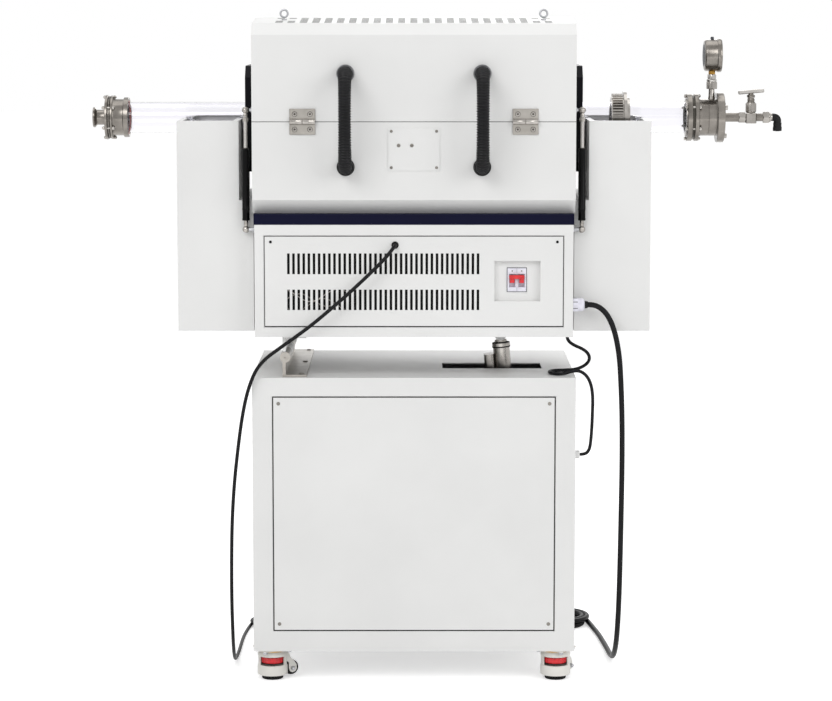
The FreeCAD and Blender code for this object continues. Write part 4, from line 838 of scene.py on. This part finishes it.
def lid_hinges():
    """Split hinges: a leaf on each half, and half a barrel on each leaf round the lid's axis."""
    for side, word in SIDES:
        middle = side * HINGE_X
        left, right = middle - 24.5, middle + 24.5
        for body, level, node, low, high, screws in (("box", "lower", "lower", 1064.5, 1088.6, 1074.5),
                                                     ("lid", "upper", "lid", 1089.4, 1113.5, 1103.5)):
            ends = (left, middle - 0.2) if (body == "box") == (side > 0) else (middle + 0.2, right)
            run = ends[1] - ends[0]
            barrel = [(0, 0), (0, 5.0), (0.5, 5.6), (run * 0.48, 5.6), (run * 0.5, 5.35), (run * 0.52, 5.6),
                      (run - 0.5, 5.6), (run, 5.0), (run, 0)]
            parts = [slab((left, -223.2, low), (right, FACE, high), SATIN, 0.9),
                     lathe("x", (ends[0], -226, TUBE_Z), barrel, PALE_STEEL, sides=40),
                     *(countersunk((middle + s * 14.6, -223.2, screws), 4.6) for s in (-1, 1))]
            piece(f"hinge_leaf_{level}_{word}", body, parts, "stainless", [f"hinge_leaves_{node}"])


# --- corrugated conduits
HOSE_X = 130
HOSE_ROUTE = [(-238, 1180), (-268, 1180), (-286, 1144), (-290, 1092), (-286, 1039), (-268, 1003), (-238, 1003)]


def conduits():
    """Corrugated hoses: the radius is a mean plus a rounded wave every 4.9 mm along the line."""
    collar = [(-0.2, 0), (-0.2, 16.9), (1.4, 17.2), (6.4, 16.8), (7.2, 15.4), (8.4, 15.2), (17.4, 14.8), (18.6, 13.8),
              (18.6, 0)]
    for side, word in SIDES:
        rough = centreline(f"hose_{word}", [(side * HOSE_X, y, z) for y, z in HOSE_ROUTE])
        run = travelled(rough)
        count = int(run[-1] / 0.0007)
        even = np.linspace(0, run[-1], count)
        line = np.stack([np.interp(even, run, rough[:, axis]) for axis in range(3)], 1)
        line[1:-1] = (line[:-2] + line[1:-1] * 2 + line[2:]) / 4
        wave = np.cos(2 * np.pi * even / 0.0049)
        ribbed = 0.0119 + 0.0009 * np.sign(wave) * np.abs(wave) ** 0.6
        hose = tube(f"conduit_{word}", line, ribbed, CONDUIT, "black_plastic", "conduit_hoses", 40)
        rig.blend(hose, "box", "lid", start=line[-40], end=line[40])
        for height, body in ((1180, "lid"), (1003, "box")):
            gland = lathe("-y", (side * HOSE_X, FACE, height), collar, CONDUIT, sides=56)
            piece(f"conduit_gland_{word}_{body}", body, [gland], "black_plastic")


# --- screws and studs of the tilting body
SPRING_Y, SPRING_Z = -192, 882  # where the gas springs stand


def pan_screw(spot, radius, finish):
    """A pan head screw with a hexagon socket."""
    head = [(0, 0), (0, radius * 0.94), (0.25, radius), (1.1, radius * 0.94), (1.8, radius * 0.6),
            (1.9, radius * 0.42), (0.6, radius * 0.4), (0.6, 0)]
    return lathe("-y", spot, head, finish, sides=28)


def ball_end(axis, spot, radius):
    """A spring's ball socket: a ball drawn out into a neck."""
    turn = np.linspace(-np.pi / 2, 1.1, 14)
    profile = [(radius * math.sin(a), radius * math.cos(a)) for a in turn]
    profile += [(radius * 1.25, 3.9), (radius * 1.9, 3.9), (radius * 1.9, 0)]
    return lathe(axis, spot, profile, PALE_STEEL, sides=36)


def box_fittings():
    """Screws of the panels, and the two studs that the gas springs' lower balls sit on."""
    parts = [pan_screw((side * 274, FACE, 860), 2.7, BLACK_PLASTIC) for side in (-1, 1)]
    parts += [pan_screw((side * 43, -222, height), 2.8, DULL_STEEL) for side in (-1, 1) for height in (1002, 1071)]
    parts += [pan_screw((x, -222, 1044), 3.5, DULL_STEEL) for x in (-29, -4)]
    stud = [(0, 0), (0, 7), (2.4, 7), (3, 6.4), (3, 4), (17, 4), (17, 0)]
    parts += [lathe(way, (x, SPRING_Y, SPRING_Z), stud, ZINC, sides=32) for way, x in (("-x", -305), ("x", 305))]
    piece("box_screws", "box", parts, "zinc_steel", ["box_fasteners"])


def springs():
    """Gas springs: black cylinder with a gland ring and a neck, bright rod, steel ball ends."""
    for side, word in SIDES:
        foot = (side * 322, SPRING_Y, SPRING_Z)
        barrel = [(17, 0), (17, 6.6), (18, 7.4), (21, 7.4), (21.6, 6.9), (37, 6.9), (37.6, 7.4), (40, 7.4),
                  (40.6, 7.1), (150, 7.1), (150.6, 6.6), (152.4, 6.6), (153, 7.1), (154, 7.1), (155, 6.2), (155, 0)]
        # The ring round the rod at the cylinder's mouth is in the steel darkened as painted gap shade.
        parts = [lathe("z", foot, barrel, GLOSS_BLACK),
                 rod("z", foot, 10, 18, 4, PALE_STEEL, 28),
                 ball_end("z", foot, 6.8),
                 lathe("z", foot, [(154.6, 3.7), (154.6, 5.4), (156.2, 5.2), (156.2, 3.7)], GAP_SHADE_STEEL, sides=32)]
        piece(f"gas_spring_cylinder_{word}", f"spring_outer_{word}", parts, "black_paint", [f"spring_cylinder_{word}"])
        parts = [rod("z", foot, 60, 218, 3.5, NICKEL, 36),
                 ball_end("-z", (side * 322, SPRING_Y, 1110), 6.4),
                 lathe("z", foot, [(206, 0), (206, 5), (206.8, 5.6), (213, 5.6), (214, 4), (214, 0)], PALE_STEEL,
                       sides=32)]
        piece(f"gas_spring_rod_{word}", f"spring_inner_{word}", parts, "stainless", [f"spring_rod_{word}"])


# --- breaker
def breaker():
    """A two-pole breaker: stepped white moulding with a slot in each pole and a bridged red lever."""
    left, right = 179.3, 215.2
    middle = (left + right) / 2
    steps = ((-201, -150, 747.5, 825.5, 0.8), (-205, -200.5, 747.5, 764.5, 0.6), (-205, -200.5, 808.5, 825.5, 0.6),
             (-212, -200.5, 764.3, 772.3, 0.4), (-212, -200.5, 797.5, 808.7, 0.4))
    parts = [slab((left, front, low), (right, back, high), BREAKER_WHITE, cut) for front, back, low, high, cut in steps]
    cheeks = ((left, left + 3.1, -212), (middle - 3.2, middle + 3.2, -208.6), (right - 3.1, right, -212))
    parts += [slab((x0, front, 771.8), (x1, -200.5, 798), BREAKER_WHITE, 0.2) for x0, x1, front in cheeks]
    # Thin dark lines down the middle of the two lever slots: painted shade in the slots.
    parts += [slab((middle - 0.2, -212.15, low), (middle + 0.2, -211.9, high), DARK_GREY_AND_GAP_SHADE, 0.05)
              for low, high in ((764.6, 772.1), (797.7, 808.4))]
    parts += [lathe("-y", (x, -212, 803.6), [(0, 0), (0.1, 1.4), (0.2, 1.4), (0.2, 0)], DULL_STEEL, sides=20)
              for x in (left + 9, right - 9)]
    # A dark frame round the case: painted shade of the gap in the panel's cut-out.
    parts += thin_frame((left - 1.3, 763), (right + 1.3, 810), -208, 1.2, DARK_GREY_AND_GAP_SHADE)
    piece("breaker_case", "box", parts, "breaker_plastic", ["breaker_body"])
    bar = [slab((left + 3.3, -219, 788.6), (right - 3.3, -213.6, 796), RED_PLASTIC, 2.2)]
    for x0 in (left + 4.4, right - 13.4):
        bar += [slab((x0, -215.6, 780.6), (x0 + 9, -212.4, 790.5), RED_PLASTIC, 1.0),
                slab((x0 + 0.6, -213, 783), (x0 + 8.4, -204, 790), RED_PLASTIC, 0.8)]
    piece("breaker_lever_bar", "breaker_switch", bar, "red_plastic", ["breaker_toggle"])


# --- work tube, seam and panel edges
def work_tube():
    """The wall's section, with rounded ends, carried round the axis."""
    wall = [(-590, 27.3), (-589.4, 26.9), (-588, 27), (548, 27), (549.4, 26.9), (550, 27.3), (550, 29.5),
            (549.5, 30), (-589.5, 30), (-590, 29.5), (-590, 27.3)]
    piece("quartz_work_tube", "work_tube", [lathe("x", TUBE, wall, QUARTZ, sides=160)], "quartz",
          ["quartz_tube"])


def thin_frame(low, high, y, wide, finish, bottom=None):
    """Four flat strips round an opening that faces -Y, just proud of the sheet."""
    (x0, z0), (x1, z1) = low, high
    strips = ((x0, z1 - wide, x1, z1), (x0, z0, x1, z0 + (bottom or wide)),
              (x0, z0, x0 + wide, z1), (x1 - wide, z0, x1, z1))
    return [slab((left, y - 0.12, under), (right, y, over), finish, 0.02) for left, under, right, over in strips]


def seams():
    """The rope seal that shows in the split, grey with painted shade of the gap, and painted shadow strips in the
    joints round the two big panels.
    """
    level, over = 1088.2, 1089.4
    # Grey strips in the split: a rope seal, in a grey darkened as painted shade of the gap.
    rope = [slab((-308.6, y0, level), (308.6, y1, over), SEAM, 0.1) for y0, y1 in ((-220.2, -219), (219, 220.2))]
    rope += [slab((x0, y0, level), (x1, y1, over), SEAM, 0.1)
             for x0, x1 in ((-308.7, -307.6), (307.6, 308.7)) for y0, y1 in ((-220, -36), (36, 220))]
    piece("rope_seal_and_split_shade", "box", rope, "black_rubber")
    # Each joint is a near-black strip laid in the gap: painted shade.
    for name, body, low, high, y, wide, bottom in (
            ("panel_joint", "box", (-286.4, 696.6), (286.4, 871.4), FACE, 1.2, 1.8),
            ("door_joint", "cart", (-272.6, 102.4), (272.6, 561.6), FACE, 1.9, 1.9),
            ("operator_door_joint", "cart", (-272.9, 102.1), (272.9, 561.9), 220.12, 0.8, 0.8)):
        piece(name, body, thin_frame(low, high, y, wide, PAINTED_GAP_SHADE, bottom), "black_rubber")


def operator_side():
    """What the operator uses: touch screen in a dark bezel, stop button on a yellow collar, gripped handles."""
    rim = ((-100.3, 837.6, 100.3, 850.3), (-100.3, 717.7, 100.3, 730.4), (-100.3, 718, -87.6, 850),
           (87.6, 718, 100.3, 850))
    bezel = [slab((x0, 219.8, z0), (x1, 226.2, z1), DARK_GREY_AND_GAP_SHADE, 1.4) for x0, z0, x1, z1 in rim]
    bezel += [slab((-87.8, 224, 730.2), (87.8, 225, 837.8), SCREEN, 0.2),
              slab((-80, 224.9, 738), (80, 225.15, 830), LIT_SCREEN, 0.1)]
    bezel += [slab((x - 14, 225.1, z - 9), (x + 14, 225.3, z + 9), DARK_GREY_AND_GAP_SHADE, 0.1)
              for z in (754, 784, 814) for x in (-60, -20, 20, 60)]
    piece("touch_screen", "box", bezel, "black_plastic")
    collar = [(0, 16.1), (0, 29), (1.6, 29.6), (2.6, 29), (3, 27), (3, 16.1)]
    piece("stop_button_collar", "box", [lathe("y", (-200, 220, 784), collar, YELLOW_PLASTIC, sides=72)], "red_plastic")
    cap = [(-7.9, 0), (-7.9, 7.9), (12, 7.9), (12, 17.5), (13, 19.3), (15.5, 20), (20.5, 20), (23.4, 18.6),
           (25.2, 15.4), (25.9, 9), (26, 0)]
    piece("stop_button_cap", "stop", [lathe("y", (-200, 220, 784), cap, RED_PLASTIC, sides=72)], "red_plastic",
          ["stop_button"])
    grip = [(0, 7.05), (0, 9.4), (1.5, 10)]
    for start in range(4, 132, 8):
        grip += [(start, 10), (start + 1, 9.2), (start + 4, 9.2), (start + 5, 10)]
    grip += [(138.5, 10), (140, 9.4), (140, 7.05)]
    rosette = [(0, 6.1), (0, 11), (1.6, 11.4), (3, 10.6), (3.6, 6.1)]
    parts = [lathe("x", (-70, 258, 1165), grip, BLACK_RUBBER_AND_SHADE),
             *(lathe("y", (x, 220, 1165), rosette, PALE_STEEL, sides=40) for x in (-80, 80))]
    piece("lid_handle_grip", "lid", parts, "black_rubber")
    for low, high, body, word in ((0, 30, "door", "leaf"), (-30, -0.4, "cart", "frame")):
        barrel = [(low, 0), (low + 0.4, 4), (low + 1, 4.4), (high - 1, 4.4), (high - 0.4, 4), (high, 0)]
        barrels = [lathe("z", (272, 220, z), barrel, PALE_STEEL, sides=32) for z in (480, 185)]
        piece(f"door_hinge_{word}", body, barrels, "stainless")


def vent_liner():
    """A black pad behind the cooling slots, painted shade that darkens them, with a few loose wires in front of it."""
    # The black pad is painted shade behind the slots.
    parts = [slab((-252, -212.6, 722), (134, -210.6, 846), BLACK_RUBBER_AND_SHADE, 0.6)]
    for start, turn, finish in ((748, 0.0, DULL_STEEL), (757, 1.9, PALE_STEEL), (739, 3.6, DULL_STEEL)):
        run = np.linspace(0, 1, 60)
        way = np.stack([-246 + 118 * run, -215 + 0.6 * np.sin(9 * run), start + 12 * np.sin(7 * run + turn)], 1)
        parts.append(sweep(way, 1.1, finish, 10))
    piece("vent_slot_shade_pad", "box", parts, "black_rubber")


def lead_glands():
    """The white nylon gland of the mains lead: a hexagon, a collar and a domed cap."""
    spot = (0, -205, 738)
    cap = [(315.5, 0), (315.5, 12.4), (316.5, 12.6), (323, 12.6), (326, 11.2), (327.5, 8.6), (327.5, 0)]
    parts = [nut("x", (305, -205, 738), 24.6, 11, BREAKER_WHITE),
             lathe("x", spot, cap, BREAKER_WHITE)]
    piece("mains_gland", "box", parts, "breaker_plastic")


def actuator_wiper():
    """The black wiper and the gasket at the top of the actuator's tube."""
    lean = Matrix.Rotation(-math.atan2(30, 339), 3, "Y")
    rings = [[(322.2, 12.3), (322.2, 17.4), (323.4, 17), (324.6, 13.4), (324.6, 12.3), (322.2, 12.3)],
             [(313.4, 16.4), (313.4, 17.6), (315.4, 18.3), (316, 18.3), (316, 16.4), (313.4, 16.4)]]
    parts = [moved(lathe("z", (0, 0, 0), ring, BLACK_RUBBER_AND_SHADE, sides=56), (201, -32, 323), lean) for ring in rings]
    piece("actuator_wiper", "ram_outer", parts, "black_rubber")


def lid_vents():
    """Rows of punched slits in the lid's sloping top, none near the two lifting eyes. Each is a dark strip: painted
    shade inside the hole.
    """
    spots = [(23.4 * column, -186 + 13.5 * row) for column in range(-11, 12) for row in range(9)]
    parts = []
    for x, y in spots:
        if abs(abs(x) - 250) >= 18 or abs(y + 120) >= 18:
            z = 1275 + 10 * (y + 196) / 136
            parts.append(slab((x - 7, y - 2, z - 0.4), (x + 7, y + 2, z + 0.35), SEAM, 0.3))
    piece("lid_vent_slits", "lid", parts, "black_rubber")


# --- stage, light and camera
def background_rays(tree, other, seen_by):
    """One number for a ray from the eye, from a mirror or through glass, and another for the rest."""
    path = add(tree, "LightPath")
    seen = path.outputs["Is Camera Ray"]
    for ray in ("Is Glossy Ray", "Is Transmission Ray"):
        seen = add(tree, "Math", {"operation": "MAXIMUM"}, {0: seen, 1: path.outputs[ray]}).outputs["Value"]
    return add(tree, "MapRange", inputs={"Value": seen, "To Min": other, "To Max": seen_by}).outputs["Result"]


def stage():
    """A wide white floor that glows a little for the eye and gives only plain light."""
    floor = bpy.data.meshes.new("studio_floor")
    floor.from_pydata([(-30, -30, 0), (30, -30, 0), (30, 30, 0), (-30, 30, 0)], [], [(0, 1, 2, 3)])
    made = shown("studio_floor", floor)
    finish = material("white_studio_floor", shade=("#F2F2F2", "#F6F6F6", 0.5), Roughness=0.9,
                      Emission_Color=(1, 1, 1, 1))
    tree = finish.node_tree
    tree.links.new(background_rays(tree, 0.0, 0.5), tree.nodes["Principled BSDF"].inputs["Emission Strength"])
    floor.materials.append(finish)
    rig.stage(made)


def world():
    """White surroundings for the eye, in metal and through glass; plain grey-white as light."""
    made = bpy.data.worlds.new("studio")
    bpy.context.scene.world = made
    made.use_nodes = True
    tree = made.node_tree
    backdrop = tree.nodes["Background"]
    backdrop.inputs["Color"].default_value = (1, 1, 1, 1)
    tree.links.new(background_rays(tree, 0.55, 1.0), backdrop.inputs["Strength"])


def light():
    """Five soft rectangles: each looks at a point above the part's middle."""
    for name, spot, height, size, power in (("key", (-1.8, -3.2, 3.2), 0.7, (2.4, 1.8), 52),
                                            ("fill", (2.6, -2.8, 2.2), 0.7, (2.0, 2.0), 32),
                                            ("top", (0, 0.6, 3.8), 0.8, (3.0, 2.0), 26),
                                            ("low", (0, -3.4, 0.3), 0.95, (2.4, 0.5), 4),
                                            ("back", (0.9, 3.6, 2.4), 0.7, (2.4, 1.8), 34)):
        data = bpy.data.lights.new(f"{name}_softbox", "AREA")
        data.shape = "RECTANGLE"
        data.size, data.size_y = size
        data.energy = power
        made = shown(data.name, data)
        made.location = spot
        made.rotation_euler = (Vector((0, 0, height)) - Vector(spot)).to_track_quat("-Z", "Y").to_euler()


CAMERA_SPOT = (0.004, -5.52, 1.30)
CAMERA_PITCH = math.radians(6.98)
CAMERA_LENS = 120.4


def camera():
    """Level with the furnace and tipped down a little, through a long lens."""
    data = bpy.data.cameras.new("camera")
    data.lens = CAMERA_LENS
    data.sensor_width = 36
    data.clip_end = 100
    made = shown("camera", data)
    made.location = CAMERA_SPOT
    made.rotation_euler = (math.pi / 2 - CAMERA_PITCH, 0, 0)
    bpy.context.scene.camera = made


for build in (cords, left_flange, right_flange, gauge, valve, casters, lid_hinges, conduits, box_fittings, lid_vents,
              springs, operator_side, lead_glands, actuator_wiper, vent_liner, breaker, work_tube, seams, stage, world,
              light, camera):
    build()
bpy.context.scene.view_settings.view_transform = "Standard"

with open("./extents.json", "w") as out:
    json.dump({"cad": [list(corner) for corner in cad_bounds],
               "scene": [list(corner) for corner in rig.bounds()]}, out)
